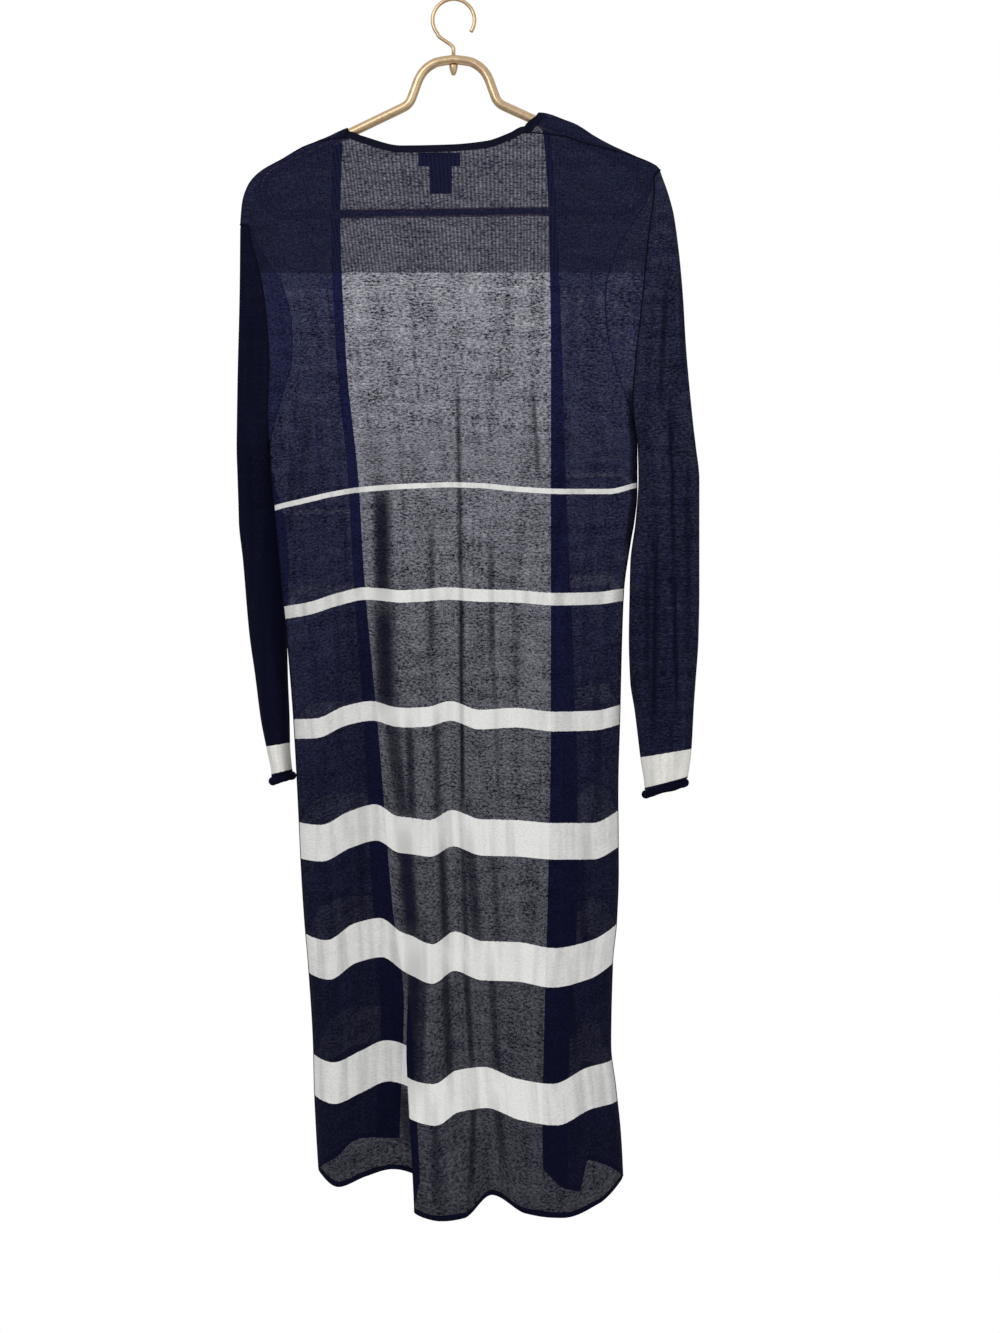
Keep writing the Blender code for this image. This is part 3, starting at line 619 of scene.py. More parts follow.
@lru_cache(maxsize=None)
def course_curve(kind, share):
    """The drop or the depth of the courses down one line of the back, as a curve over the rows."""
    lines = DROP_LINES if kind == "drop" else DEPTH_LINES
    return Curve(range(1, HEM + 1), [line(share) for line in lines])


def course_down(share, row):
    return LEVELS(row) + course_curve("drop", share)(row)


def depth(row, part):
    return DEPTHS[part](max(row, 0.0))


def side_column(turn, row):
    """How far in from the side edge, and what share of the depth, a column of a rounded side lies."""
    q = roundness(row) if row < 1 else 0.0
    even = turn / SIDE_ARC[-1]
    inward = SIDE_ROUND * blend(1 - math.cos(math.radians(turn)), even, q)
    return inward, blend(math.sin(math.radians(turn)), 1.0, q)


def back_flat(share, row):
    """(x, down, y) of the back before its sides are rounded, at a share of its width."""
    start = lap_length(along_top_edge(share)[2]) + SEAM / 2
    end = max(start, LAP * math.pi / 2) + LAP_END
    if row <= 0:
        return lap_point(share, blend(start, end, row + 1))
    if row < 1:
        x, down, _ = lap_point(share, end)
        left, right = (side_x(side, UNDERARM_DOWN[side]) for side in ("left", "right"))
        x = blend(x, left + (right - left) * share, row)
        x += ARMHOLE_HOLLOWS["left back"](row) * max(0, 1 - share / ARMHOLE_REACH) ** 2
        x -= ARMHOLE_HOLLOWS["right back"](row) * max(0, (share - 1) / ARMHOLE_REACH + 1) ** 2
        return x, blend(down, course_down(share, 1), row), -depth(row, "back")
    left = side_x("left", course_down(0, row))
    right = side_x("right", course_down(1, row))
    y = -depth(row, "back") - course_curve("depth", share)(row)
    return left + (right - left) * share, course_down(share, row), y


def top_share(side, share):
    """The share of the whole top edge at a share of one shoulder seam, from its armhole to its neck point."""
    return share * LEFT_NECK_SHARE if side == "left" else 1 - share * (1 - RIGHT_NECK_SHARE)


def front_drop(side, share, row):
    """How far a course of a front hangs below its level at the side seam."""
    return HEM_DROPS[side](share) * max(0.0, (row - 1) / (HEM - 1)) ** 2


def front_point(side, share, row):
    """(x, down, y) of a front at a share of its width from the side to its edge."""
    seam_end = SEAM_END[side]
    on_top = top_share(side, share)
    start = lap_length(along_top_edge(on_top)[2]) - SEAM / 2
    end = -LAP * math.pi / 2 - LAP_END
    top_x, top_down, top_y = lap_point(on_top, blend(start, end, min(row, 0) + 1))
    neck_x = lap_point(top_share(side, 1), end)[0]
    corner_x = lap_point(top_share(side, 0), end)[0]
    shift = FRONT_EDGES[side](FRONT_EDGE[0][0]) - neck_x
    spread = (lap_point(on_top, end)[0] - corner_x) / (neck_x - corner_x)
    top_x += shift * spread**2 * min(1.0, (row + 1) / FRONT_SHIFT_OVER)
    if row <= 0:
        return top_x, top_down, top_y
    if row < 1:
        outer = blend(corner_x, side_x(side, UNDERARM_DOWN[side]), row)
        outer -= ARMHOLE_HOLLOWS[f"{side} front"](row) * SIGN[side]
        down = blend(top_down, course_down(seam_end, 1), row)
        at_top = (top_x - corner_x) / (FRONT_EDGES[side](FRONT_EDGE[0][0]) - corner_x)
        x = outer + (FRONT_EDGES[side](down) - outer) * blend(at_top, share, row)
        return x, down, depth(row, "front")
    seam_down = course_down(seam_end, row)
    down = seam_down + front_drop(side, share, row)
    outer, inner = side_x(side, seam_down), FRONT_EDGES[side](down)
    fold = max(0.0, (row - FRONT_FOLDS_FROM) / (HEM - FRONT_FOLDS_FROM))
    y = depth(row, "front") + fold * FRONT_FOLDS[side](share)
    return outer + (inner - outer) * share, down, y


def front_width(side, row):
    return abs(front_point(side, 1, row)[0] - front_point(side, 0, row)[0])


def metres(point):
    x, down, y = point[:3]
    return (x * MM, y * MM, -down * MM)


def knit_level(share, row, down):
    """How far down the knitted cloth a point lies, in mm, with each course's top at its own level."""
    if row < 1:
        return down
    if row < 2:
        return blend(down, COURSE_LEVEL[1] + down - course_down(share, 2), smooth(row - 1))
    k = min(int(row), HEM - 1)
    here, below = course_down(share, k), course_down(share, k + 1)
    offset, span = down - here, below - here
    stretch = (COURSE_LEVEL[k] - COURSE_LEVEL[k - 1]) - span
    return COURSE_LEVEL[k - 1] + offset + stretch * smooth((offset - STRIPE_CLEAR) / (span - STRIPE_CLEAR))


def crease_at(creases, x, down):
    """(distance out, gathering and painted shade) that creases add to the cloth at a place."""
    out, gather_and_shade = 0.0, 0.0
    for x0, down0, x1, down1, half_width, height, gathering_and_shade in creases:
        way = (down - down0) / (down1 - down0)
        fade = smooth((way / CREASE_TAPER + 1) / 2) * smooth(((1 - way) / CREASE_TAPER + 1) / 2)
        if fade == 0:
            continue
        near = (x - blend(x0, x1, way)) / (CREASE_WIDTH * half_width)
        if abs(near) > 2:
            continue
        form = fade * math.exp(-(near**4))
        out += CREASE_DEPTH * height * form
        gather_and_shade = max(gather_and_shade, min(CREASE_GATHER_AND_SHADE * gathering_and_shade, MOST_GATHER_AND_SHADE) * form)
    return out, gather_and_shade


def painted_shade_at_side(x, down):
    """The painted shade on the right edge of the back, where it lies deep between the front and the sleeve.
    """
    top, bottom, width = RIGHT_SIDE_PAINTED_SHADE
    from_edge = side_x("right", down) - x
    ends = smooth((down - top) / width) * smooth((bottom - down) / (3 * width))
    return DARKEST_PAINTED_SHADE * ends * smooth(2 * (width - from_edge) / width)


def pleat(share, row):
    """(distance across, distance forward) by which the pleat shifts the back at a place."""
    first, last = PLEAT_ROWS
    grown = smooth((row - first) / (last - first))
    at = (share - PLEAT_SHARE) / PLEAT_EDGE
    shift = -grown * math.tanh(at) * math.exp(-((at / PLEAT_REACH) ** 2))
    return PLEAT_LAP * shift, PLEAT_STAND * shift


def back_rows_at():
    laps = list(np.linspace(-1, 0, LAP_STEPS, endpoint=False))
    arms = list(np.linspace(0, 1, ARM_STEPS, endpoint=False))
    return laps + arms + list(np.linspace(1, HEM, COURSE_STEPS * (HEM - 1) + 1))


def back_vertex(share, row, behind=1.0):
    x, down, y = back_flat(share, row)
    gather_and_shade = 0.0
    if row > 0:
        crease, gather_and_shade = crease_at(BACK_CREASES, x, down)
        # Painted shade on the back's right edge, between the front and the sleeve
        gather_and_shade = max(gather_and_shade, painted_shade_at_side(x, down))
        across, forward = pleat(share, row)
        x += across
        y = min((y - crease) * behind + forward, -SEAM / 2)
    return (x, down, y, share * KNIT_WIDTH, knit_level(share, row, down), gather_and_shade)


def back_row(row):
    width = back_flat(1, row)[0] - back_flat(0, row)[0]
    side = [side_column(turn, row) for turn in SIDE_ARC]
    reach = SIDE_ROUND / width
    middle = np.linspace(reach, 1 - reach, BACK_STEPS + 1)[1:-1]
    points = [back_vertex(inward / width, row, behind) for inward, behind in side]
    points += [back_vertex(share, row) for share in middle]
    return points + [back_vertex(1 - inward / width, row, behind) for inward, behind in reversed(side)]


def front_vertex(side, share, row, forward=1.0):
    x, down, y = front_point(side, share, row)
    if row > 0:
        y = max(y * forward, SEAM / 2)
    seam_end = SEAM_END[side]
    level = knit_level(seam_end, row, down - front_drop(side, share, row) * (row >= 1))
    level += STRIPE_RISES[side](row) * smooth(share / RISE_REACH) * (row >= 1)
    return (x, down, y, (share * FRONT_KNIT_SHARE + seam_end) * KNIT_WIDTH, level, 0.0)


def front_row(side, row):
    """One row of a front from its side seam to the seam of its band."""
    width = front_width(side, row)
    to_band = 1 - (BAND_WIDTHS[side](front_point(side, 1, row)[1]) + SEAM / 2) / width
    first = SIDE_ROUND / width
    points = []
    for turn in SIDE_ARC:
        inward, forward = side_column(turn, row)
        points.append(front_vertex(side, inward / width, row, forward))
    for share in np.linspace(first, to_band, FRONT_STEPS + 1)[1:]:
        points.append(front_vertex(side, share, row))
    return points


def front_band_row(side, row):
    width = front_width(side, row)
    band = BAND_WIDTHS[side](front_point(side, 1, row)[1])
    points = []
    for inset in np.linspace(band + BAND_UNDER, 0.0, BAND_STEPS):
        x, down, y = front_point(side, 1 - inset / width, row)
        under = SEAM * smooth((inset - band + BAND_UNDER) / BAND_UNDER) * (row > 0)
        points.append((x, down, y + under, inset, down, 0.0))
    return points


def armhole_ends(side, way):
    """The points of the back's and the front's armhole edges at one row."""
    row = back_row(way)
    return (row[0] if side == "left" else row[-1])[:3], front_row(side, way)[0][:3]


def around():
    return range(4 * SLEEVE_QUARTER + 1)


def sleeve_top_row(side):
    """The sleeve's edge where it laps the shoulder point, from back to front."""
    corner = SEAM_END[side]
    sign = SIGN[side]
    normal = along_top_edge(corner)[3]
    out = (sign * normal[1] * ARMHOLE_CLEAR, -sign * normal[0] * ARMHOLE_CLEAR)
    length = LAP * math.pi / 2 + LAP_END
    points = []
    for k in around():
        x, down, y = lap_point(corner, length * (1 - k / (2 * SLEEVE_QUARTER)))
        points.append((x + out[0], down + out[1], y))
    return points


def sleeve_armhole_row(side, way):
    """One row of a sleeve above the underarm, from its back edge at the armhole round to its front edge."""
    sign = SIGN[side]
    corner_down = armhole_ends(side, 0)[0][1]
    back_end, front_end = armhole_ends(side, way)
    lift = (corner_down - SHOULDER_DOWN[side]) * max(0.0, 1 - way / CAP_LIFT_ENDS)
    row_down = back_end[1]
    outer = SLEEVE_CURVES[side][0](row_down - lift) - sign * OUTLINE_TO_MIDDLE
    q = roundness(way)
    points = []
    for k in around():
        turn = k / (2 * SLEEVE_QUARTER) - 1
        end, half = (back_end, depth(way, "back")) if turn < 0 else (front_end, depth(way, "front"))
        end_x = end[0] + sign * ARMHOLE_CLEAR
        centre, half_width = (outer + end_x) / 2, abs(outer - end_x) / 2
        x = centre + sign * half_width * math.cos(math.pi * turn)
        y = half * math.sin(math.pi * turn)
        if abs(turn) > 0.5:
            x = blend(x, blend(centre, end_x, 2 * abs(turn) - 1), q)
            y = blend(y, math.copysign(half, turn), q)
        points.append((x, row_down - lift * math.cos(math.pi / 2 * turn), y))
    return points


def sleeve_row(side, row_down):
    """One closed row of a sleeve below the underarm, starting at its inner edge."""
    sign = SIGN[side]
    outer, inner, middle, half = (curve(row_down) for curve in SLEEVE_CURVES[side])
    centre, half_width = (outer + inner) / 2, abs(outer - inner) / 2 - OUTLINE_TO_MIDDLE
    last = SLEEVES[side][-1][0]
    drawn = CUFF_DRAWN * CUFF_ROLL * smooth((row_down - last + CUFF_ROLL + CUFF_DRAWN_OVER) / CUFF_DRAWN_OVER)
    half_width, half = half_width - drawn, half - drawn
    tilted = max(0.0, (row_down - CUFF_TILT_FROM) / (last - CUFF_TILT_FROM))
    points = []
    for k in around():
        angle = math.pi * (k / (2 * SLEEVE_QUARTER) - 1)
        across = sign * math.cos(angle)
        down = row_down - CUFF_TILT[side] * tilted * across
        points.append((centre + half_width * across, down, middle + half * math.sin(angle)))
    return points


def painted_shade_in_sleeve(side, x, down):
    """The painted shade on the inner part of the left sleeve, where it lies deep under the body."""
    if side == "right":
        return 0.0
    top, bottom = LEFT_SLEEVE_PAINTED_SHADE[0][0], LEFT_SLEEVE_PAINTED_SHADE[-1][0]
    ends = smooth((down - top) / PAINTED_SHADE_ENDS) * smooth((bottom - down) / PAINTED_SHADE_ENDS)
    return DARKEST_PAINTED_SHADE * ends * smooth((x - LEFT_SLEEVE_SHADE_LINE(down)) / PAINTED_SHADE_EDGE + 0.5)


def sleeve_vertex(side, point, across, level):
    """A point of a sleeve with its place in the knit, moved out where a crease of its back half lies."""
    x, down, y = point
    crease, gather_and_shade = crease_at(SLEEVE_CREASES[side], x, down)
    if y > SLEEVE_CURVES[side][2](down):
        crease, gather_and_shade = 0.0, 0.0
    # The creases close the knit, and painted shade closes it where the sleeve lies under the body
    return (x, down, y - crease, across, level, max(gather_and_shade, painted_shade_in_sleeve(side, x, down)))


def rolled(rows, radius, outward):
    """The rows that roll a free edge outwards, after the last row."""
    added = []
    last = rows[-1]
    fall = Vector((0.0, 0.0, -1.0))
    for step in range(1, ROLL_STEPS + 1):
        turn = ROLL_TURN * step / ROLL_STEPS
        row = []
        for k, end in enumerate(last):
            out = outward(k, last)
            out = (out - fall * out.dot(fall)).normalized()
            place = fall * math.sin(turn) + out * (1 - math.cos(turn))
            way = 2 * math.pi * k / (len(last) - 1)
            swell = 1 + ROLL_WAVE * (math.sin(ROLL_WAVES[0] * way) + math.sin(ROLL_WAVES[1] * way + 1))
            x, y, z = Vector(metres(end)) + place * radius * swell * MM
            row.append((x / MM, -z / MM, y / MM, end[3], end[4] + radius * turn, ROLL_GATHER))
        added.append(row)
    return rows + added


def placed(name, data):
    made = bpy.data.objects.new(name, data)
    bpy.context.scene.collection.objects.link(made)
    return made


def meshed(name, mesh, finish):
    data = bpy.data.meshes.new(name)
    mesh.to_mesh(data)
    mesh.free()
    data.materials.append(finish)
    return placed(name, data)


def made_piece(name, mesh, finish):
    """The object that a finished mesh becomes; it rides on the part's one body."""
    piece = meshed(name, mesh, finish)
    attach(piece, "root")
    return piece


def stands_for(node):
    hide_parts(node)


def grid_piece(name, rows, finish):
    """A cloth sheet through rows of (x, down, y, stitch across, stitch down, gathering and painted shade)."""
    mesh = bmesh.new()
    knit = mesh.loops.layers.uv.new("knit")
    gather_and_shade = mesh.verts.layers.float.new("gather_and_shade")
    grid = []
    for row in rows:
        grid.append([])
        for point in row:
            vertex = mesh.verts.new(metres(point))
            vertex[gather_and_shade] = point[5]
            grid[-1].append((vertex, point))
    for upper, lower in zip(grid, grid[1:]):
        for k in range(len(upper) - 1):
            corners = (upper[k], lower[k], lower[k + 1], upper[k + 1])
            face = mesh.faces.new([vertex for vertex, _ in corners])
            face.smooth = True
            for loop, (_, point) in zip(face.loops, corners):
                loop[knit].uv = (point[3] * MM, point[4] * MM)
    return made_piece(name, mesh, finish)


class Nodes:
    """A small helper that adds nodes to a material and joins them."""

    def __init__(self, name, roughness, metallic=0.0, sheen=0.0, specular=0.5):
        self.material = bpy.data.materials.new(name)
        self.material.use_nodes = True
        self.tree = self.material.node_tree
        self.shader = self.tree.nodes["Principled BSDF"]
        self.shader.inputs["Roughness"].default_value = roughness
        self.shader.inputs["Metallic"].default_value = metallic
        self.shader.inputs["Sheen Weight"].default_value = sheen
        self.shader.inputs["Specular IOR Level"].default_value = specular

    def put(self, socket, value):
        if isinstance(value, bpy.types.NodeSocket):
            self.tree.links.new(value, socket)
        else:
            socket.default_value = value

    def put_colour(self, socket, value):
        self.put(socket, (*value, 1.0) if isinstance(value, tuple) else value)

    def colour(self, value):
        self.put_colour(self.shader.inputs["Base Color"], value)

    def math(self, operation, *values, clamp=False):
        node = self.tree.nodes.new("ShaderNodeMath")
        node.operation = operation
        node.use_clamp = clamp
        for socket, value in zip(node.inputs, values):
            self.put(socket, value)
        return node.outputs[0]

    def mix(self, share, a, b):
        """a + (b - a) * share, for numbers."""
        node = self.tree.nodes.new("ShaderNodeMix")
        self.put(node.inputs[0], share)
        self.put(node.inputs[2], a)
        self.put(node.inputs[3], b)
        return node.outputs[0]

    def mix_colour(self, share, a, b):
        node = self.tree.nodes.new("ShaderNodeMix")
        node.data_type = "RGBA"
        self.put(node.inputs[0], share)
        self.put_colour(node.inputs[6], a)
        self.put_colour(node.inputs[7], b)
        return node.outputs[2]

    def place(self):
        """(across, down) of the knit in metres."""
        uv = self.tree.nodes.new("ShaderNodeUVMap")
        uv.uv_map = "knit"
        parts = self.tree.nodes.new("ShaderNodeSeparateXYZ")
        self.tree.links.new(uv.outputs[0], parts.inputs[0])
        return parts.outputs[0], parts.outputs[1]

    def noise(self, across, down, per_metre, detail=2.0, seed=0.0):
        """Noise with its own number of grains a metre across and down the knit."""
        join = self.tree.nodes.new("ShaderNodeCombineXYZ")
        self.put(join.inputs[0], self.math("MULTIPLY", across, per_metre[0]))
        self.put(join.inputs[1], self.math("MULTIPLY", down, per_metre[1]))
        join.inputs[2].default_value = seed
        node = self.tree.nodes.new("ShaderNodeTexNoise")
        node.inputs["Scale"].default_value = 1.0
        node.inputs["Detail"].default_value = detail
        self.tree.links.new(join.outputs[0], node.inputs["Vector"])
        return node.outputs[0]

    def ribs(self, across, pitch):
        """A wave from -1 to 1 across the knit, with its pitch in mm."""
        return self.math("SINE", self.math("MULTIPLY", across, 2 * math.pi / (pitch * MM)))

    def varied(self, noise, contrast, base):
        """The base value, raised and lowered by noise."""
        return self.math("MULTIPLY_ADD", self.math("SUBTRACT", noise, 0.5), contrast, base)

    def attribute(self, name):
        node = self.tree.nodes.new("ShaderNodeAttribute")
        node.attribute_name = name
        return node.outputs["Fac"]

    def bump(self, height):
        node = self.tree.nodes.new("ShaderNodeBump")
        node.inputs["Distance"].default_value = 1.0
        self.put(node.inputs["Height"], height)
        self.tree.links.new(node.outputs[0], self.shader.inputs["Normal"])


def knit_material(name, stripes, yoke, amount, fall, seed, whites=(WHITE_DEEP, WHITE_LIGHT)):
    """A sheer slubbed knit in navy with white stripes, with a closer ribbed yoke above a level.

    stripes are (top, bottom) in mm down the knit; amount is the share of light that the jersey lets through
    high up, and fall is how far down that falls to a third.
    """
    n = Nodes(name, roughness=0.95, specular=0.06)
    across, down = n.place()
    slub = n.noise(across, down, SLUBS, 3.0, seed)
    cloud = n.noise(across, down, CLOUDS, 2.0, seed + 7.0)
    speck = n.noise(across, down, SPECKS, 2.0, seed + 13.0)
    streak = n.noise(across, down, STREAKS, 2.0, seed + 19.0)
    ragged = n.varied(speck, RAGGED_EDGE, down)

    white = 0.0
    for top, bottom in stripes:
        inside = n.math("COMPARE", ragged, (top + bottom) / 2 * MM, (bottom - top) / 2 * MM)
        white = n.math("ADD", white, inside)

    in_yoke = n.math("LESS_THAN", down, yoke * MM)
    drawn = n.mix(in_yoke, STREAK_CONTRAST, STREAK_CONTRAST * YOKE_STREAK)
    grain = n.varied(slub, SLUB_CONTRAST, 1.0)
    grain = n.varied(speck, SPECK_CONTRAST, grain)
    grain = n.varied(cloud, CLOUD_CONTRAST, grain)
    grain = n.math("MAXIMUM", n.varied(streak, drawn, grain), 0.0)

    falling = n.math("EXPONENT", n.math("DIVIDE", n.math("SUBTRACT", OPEN_AT, down), fall))
    wave = n.ribs(across, RIB_PITCH)
    rib = n.math("MULTIPLY_ADD", wave, -YOKE_OPEN * RIB_CONTRAST, YOKE_OPEN)
    navy_open = n.mix(in_yoke, n.math("MULTIPLY", falling, amount), rib)
    whole = n.math("MULTIPLY", n.mix(white, navy_open, WHITE_OPEN), grain)
    # The attribute closes the knit where creases draw it together, and as painted shade where cloth lies deep
    # between parts
    gathering_and_shade = n.attribute("gather_and_shade")
    open_share = n.math("MULTIPLY", whole, n.math("SUBTRACT", 1.0, gathering_and_shade), clamp=True)
    n.put(n.shader.inputs["Alpha"], n.math("SUBTRACT", 1.0, open_share, clamp=True))

    ridge = n.math("MULTIPLY", n.math("MULTIPLY_ADD", wave, 0.5, 0.5), in_yoke)
    # Painted backlight: where the knit is open its navy turns lighter and bluer, as if lit through from
    # behind
    backlit = n.math("MULTIPLY_ADD", open_share, BACKLIT_TINT, -BACKLIT_FROM, clamp=True)
    navy = n.mix_colour(backlit, n.mix_colour(ridge, NAVY, NAVY_RIB), NAVY_BACKLIT)
    pale = n.mix_colour(n.math("MULTIPLY_ADD", speck, *WHITE_GRAIN, clamp=True), *whites)
    # Painted shade: the whites turn grey in creases, in deep shaded places and in soft vertical streaks
    fold_shade = n.math("MAXIMUM", gathering_and_shade, n.math("MULTIPLY_ADD", streak, *WHITE_STREAK_SHADE, clamp=True))
    pale = n.mix_colour(fold_shade, pale, WHITE_FOLD_SHADE)
    n.colour(n.mix_colour(white, navy, pale))

    ribs = n.math("MULTIPLY", n.math("MULTIPLY", wave, in_yoke), RIB_HEIGHT * MM)
    n.bump(n.math("MULTIPLY_ADD", slub, SLUB_HEIGHT * MM, ribs))
    return n.material


def trim_material(name, pitch, height):
    """The close dark rib of the trims."""
    n = Nodes(name, roughness=0.92, specular=0.08)
    across, down = n.place()
    speck = n.noise(across, down, TRIM_SPECKS, 2.0, 3.0)
    wave = n.ribs(across, pitch)
    light = n.math("MULTIPLY_ADD", wave, TRIM_RIB_CONTRAST, speck, clamp=True)
    n.colour(n.mix_colour(light, TRIM_DEEP, TRIM_LIGHT))
    relief = n.math("MULTIPLY", speck, TRIM_SPECK_HEIGHT * MM)
    n.bump(n.math("MULTIPLY_ADD", wave, height * MM, relief))
    return n.material


def thread_material():
    n = Nodes("seam_thread", roughness=0.9, specular=0.08)
    n.colour(THREAD)
    return n.material


def label_material():
    n = Nodes("label_satin", roughness=0.6, sheen=0.03, specular=0.25)
    across, down = n.place()
    weave = n.noise(across, down, LABEL_WEAVE, 1.0, 5.0)
    n.colour(n.mix_colour(weave, LABEL_DEEP, LABEL_LIGHT))
    n.bump(n.math("MULTIPLY", weave, LABEL_WEAVE_HEIGHT * MM))
    return n.material


def gold_material():
    n = Nodes("satin_gold", roughness=0.3, metallic=1.0)
    place = n.tree.nodes.new("ShaderNodeTexCoord").outputs["Object"]
    noise = n.tree.nodes.new("ShaderNodeTexNoise")
    noise.inputs["Scale"].default_value = GOLD_GRAINS
    noise.inputs["Detail"].default_value = 4.0
    n.tree.links.new(place, noise.inputs["Vector"])
    n.colour(n.mix_colour(noise.outputs[0], GOLD_DEEP, GOLD_LIGHT))
    n.put(n.shader.inputs["Roughness"], n.math("MULTIPLY_ADD", noise.outputs[0], *GOLD_ROUGHNESS))
    return n.material


def join_rings(mesh, rings):
    for here, there in zip(rings, rings[1:]):
        for k in range(len(here)):
            mesh.faces.new((here[k - 1], here[k], there[k], there[k - 1])).smooth = True


def ring_at(mesh, place, across, beside, radius, sides):
    """A ring of vertices round a place, by two directions that stand square to each other."""
    ring = []
    for side in range(sides):
        angle = 2 * math.pi * side / sides
        out = across * math.cos(angle) + beside * math.sin(angle)
        ring.append(mesh.verts.new(place + out * radius * MM))
    return ring


def swept(name, line, radius, sides, closed, finish):
    """A round bar along a line of points given as (x, down, y)."""
    places = [Vector(metres(point)) for point in line]
    count = len(places)
    across = Vector((0.0, 1.0, 0.0))
    mesh = bmesh.new()
    rings = []
    for k, place in enumerate(places):
        before = places[k - 1] if closed or k else place
        after = places[(k + 1) % count] if closed or k < count - 1 else place
        along = (after - before).normalized()
        across = (across - along * across.dot(along)).normalized()
        rings.append(ring_at(mesh, place, across, along.cross(across), radius, sides))
    join_rings(mesh, rings + rings[:1] if closed else rings)
    if not closed:
        mesh.faces.new(reversed(rings[0]))
        mesh.faces.new(rings[-1])
    bmesh.ops.recalc_face_normals(mesh, faces=mesh.faces)
    return made_piece(name, mesh, finish)


def resampled(points, steps):
    lengths = [0.0]
    for here, there in zip(points, points[1:]):
        lengths.append(lengths[-1] + math.dist(here, there))
    run, fall = (Curve(lengths, values) for values in zip(*points))
    return [(run(at), fall(at)) for at in np.linspace(0, lengths[-1], steps)]


def frame_line():
    """The hanger bar's axis from the arch round each tip and along the lower bar."""
    slope = math.tan(ARM_SLOPE)
    centre_down = LOWER_BAR_DOWN - TIP_BEND
    rise = centre_down - TIP_BEND * math.cos(ARM_SLOPE) - FOOT_DOWN
    centre_x = FOOT_X + rise / slope - TIP_BEND * math.sin(ARM_SLOPE)
    toward_arch = (FOOT_X - FOOT_LEAN * FOOT_ROUND, FOOT_DOWN - FOOT_ROUND)
    toward_arm = (FOOT_X + FOOT_ROUND, FOOT_DOWN + slope * FOOT_ROUND)
    corner = (FOOT_X, FOOT_DOWN)
    half = resampled([*reversed(ARCH), toward_arch], ARCH_STEPS)[:-1]
    for share in np.linspace(0, 1, FOOT_STEPS):
        first = [blend(a, b, share) for a, b in zip(toward_arch, corner)]
        second = [blend(a, b, share) for a, b in zip(corner, toward_arm)]
        half.append(tuple(blend(a, b, share) for a, b in zip(first, second)))
    for share in np.linspace(0, 1, TIP_STEPS):
        angle = blend(math.pi / 2 - ARM_SLOPE, -math.pi / 2, share)
        half.append((centre_x + TIP_BEND * math.cos(angle), centre_down - TIP_BEND * math.sin(angle)))
    loop = half + [(-x, down) for x, down in reversed(half[1:])]
    cosine, sine = math.cos(HANGER_TILT), math.sin(HANGER_TILT)
    return [(x * cosine, down - x * sine, 0.0) for x, down in loop]


def hook_line():
    radius = HOOK_BEND + HOOK_WIRE
    points = []
    for share in np.linspace(0, 1, HOOK_STEPS):
        angle = blend(HOOK_TIP_TURN, 0.0, share) - HOOK_START
        points.append((-radius * math.cos(angle), HOOK_BEND - radius * math.sin(angle)))
    neck_x, neck_down = points[-1]
    for share in np.linspace(0, 1, HOOK_NECK_STEPS)[1:]:
        points.append((blend(neck_x, 0.0, smooth(share)), neck_down + HOOK_NECK * share))
    points.append((0.0, FERRULE[0][1] - SEAM))
    return [(x, down, 0.0) for x, down in points]


def ferrule(finish):
    mesh = bmesh.new()
    profile = [(0.0, FERRULE[0][1]), *FERRULE, (0.0, FERRULE[-1][1] + FERRULE_POINT)]
    across, beside = Vector((1, 0, 0)), Vector((0, 1, 0))
    rings = []
    for radius, down in resampled(profile, PIN_STEPS):
        rings.append(ring_at(mesh, Vector(metres((0, down, 0))), across, beside, radius, PIN_SIDES))
    join_rings(mesh, rings)
    bmesh.ops.remove_doubles(mesh, verts=mesh.verts, dist=WELD)
    bmesh.ops.recalc_face_normals(mesh, faces=mesh.faces)
    return made_piece("hanger_pin", mesh, finish)


def make_hanger():
    gold = gold_material()
    bar = swept("hanger_bar", frame_line(), BAR_RADIUS, BAR_SIDES, True, gold)
    hook = swept("hook_wire", hook_line(), HOOK_WIRE, HOOK_SIDES, False, gold)
    pin = ferrule(gold)
    for piece, node in ((bar, "hanger_frame"), (hook, "hanger_hook"), (pin, "hanger_ferrule")):
        stands_for(node)


def welded(piece):
    mesh = bmesh.new()
    mesh.from_mesh(piece.data)
    bmesh.ops.remove_doubles(mesh, verts=mesh.verts, dist=WELD)
    mesh.to_mesh(piece.data)
    mesh.free()


def hemmed(row_at, outward):
    """The rows of a panel down to its hem, which rolls outwards."""
    rows = [row_at(row) for row in back_rows_at()]
    rows[-1] = row_at(HEM - HEM_ROLL / (COURSE_LEVEL[-1] - COURSE_LEVEL[-2]))
    return rolled(rows, HEM_ROLL, lambda k, row: Vector(outward))


def make_body():
    stripes = [(COURSE_LEVEL[k + 1], COURSE_LEVEL[k + 1] + height) for k, height in enumerate(STRIPE_HEIGHTS)]
    back_knit = knit_material("sheer_knit_back", stripes, YOKE_DOWN["back"], BACK_OPEN, BACK_FALL, 0.0)
    front_knit = knit_material("sheer_knit_front", stripes, YOKE_DOWN["front"], FRONT_OPEN, FRONT_FALL, 31.0)
    trim = trim_material("close_rib_trim", *TRIM_RIB)

    back = grid_piece("back_cloth", hemmed(back_row, (0, -1, 0)), back_knit)
    stands_for("back")

    for side in ("left", "right"):
        rows = hemmed(partial(front_row, side), (0, 1, 0))
        front = grid_piece(f"front_cloth_{side}", rows, front_knit)
        stands_for(f"front_{side}")
        rows = [front_band_row(side, row) for row in back_rows_at()]
        band = grid_piece(f"front_trim_{side}", rows, trim)
        stands_for(f"front_band_{side}")


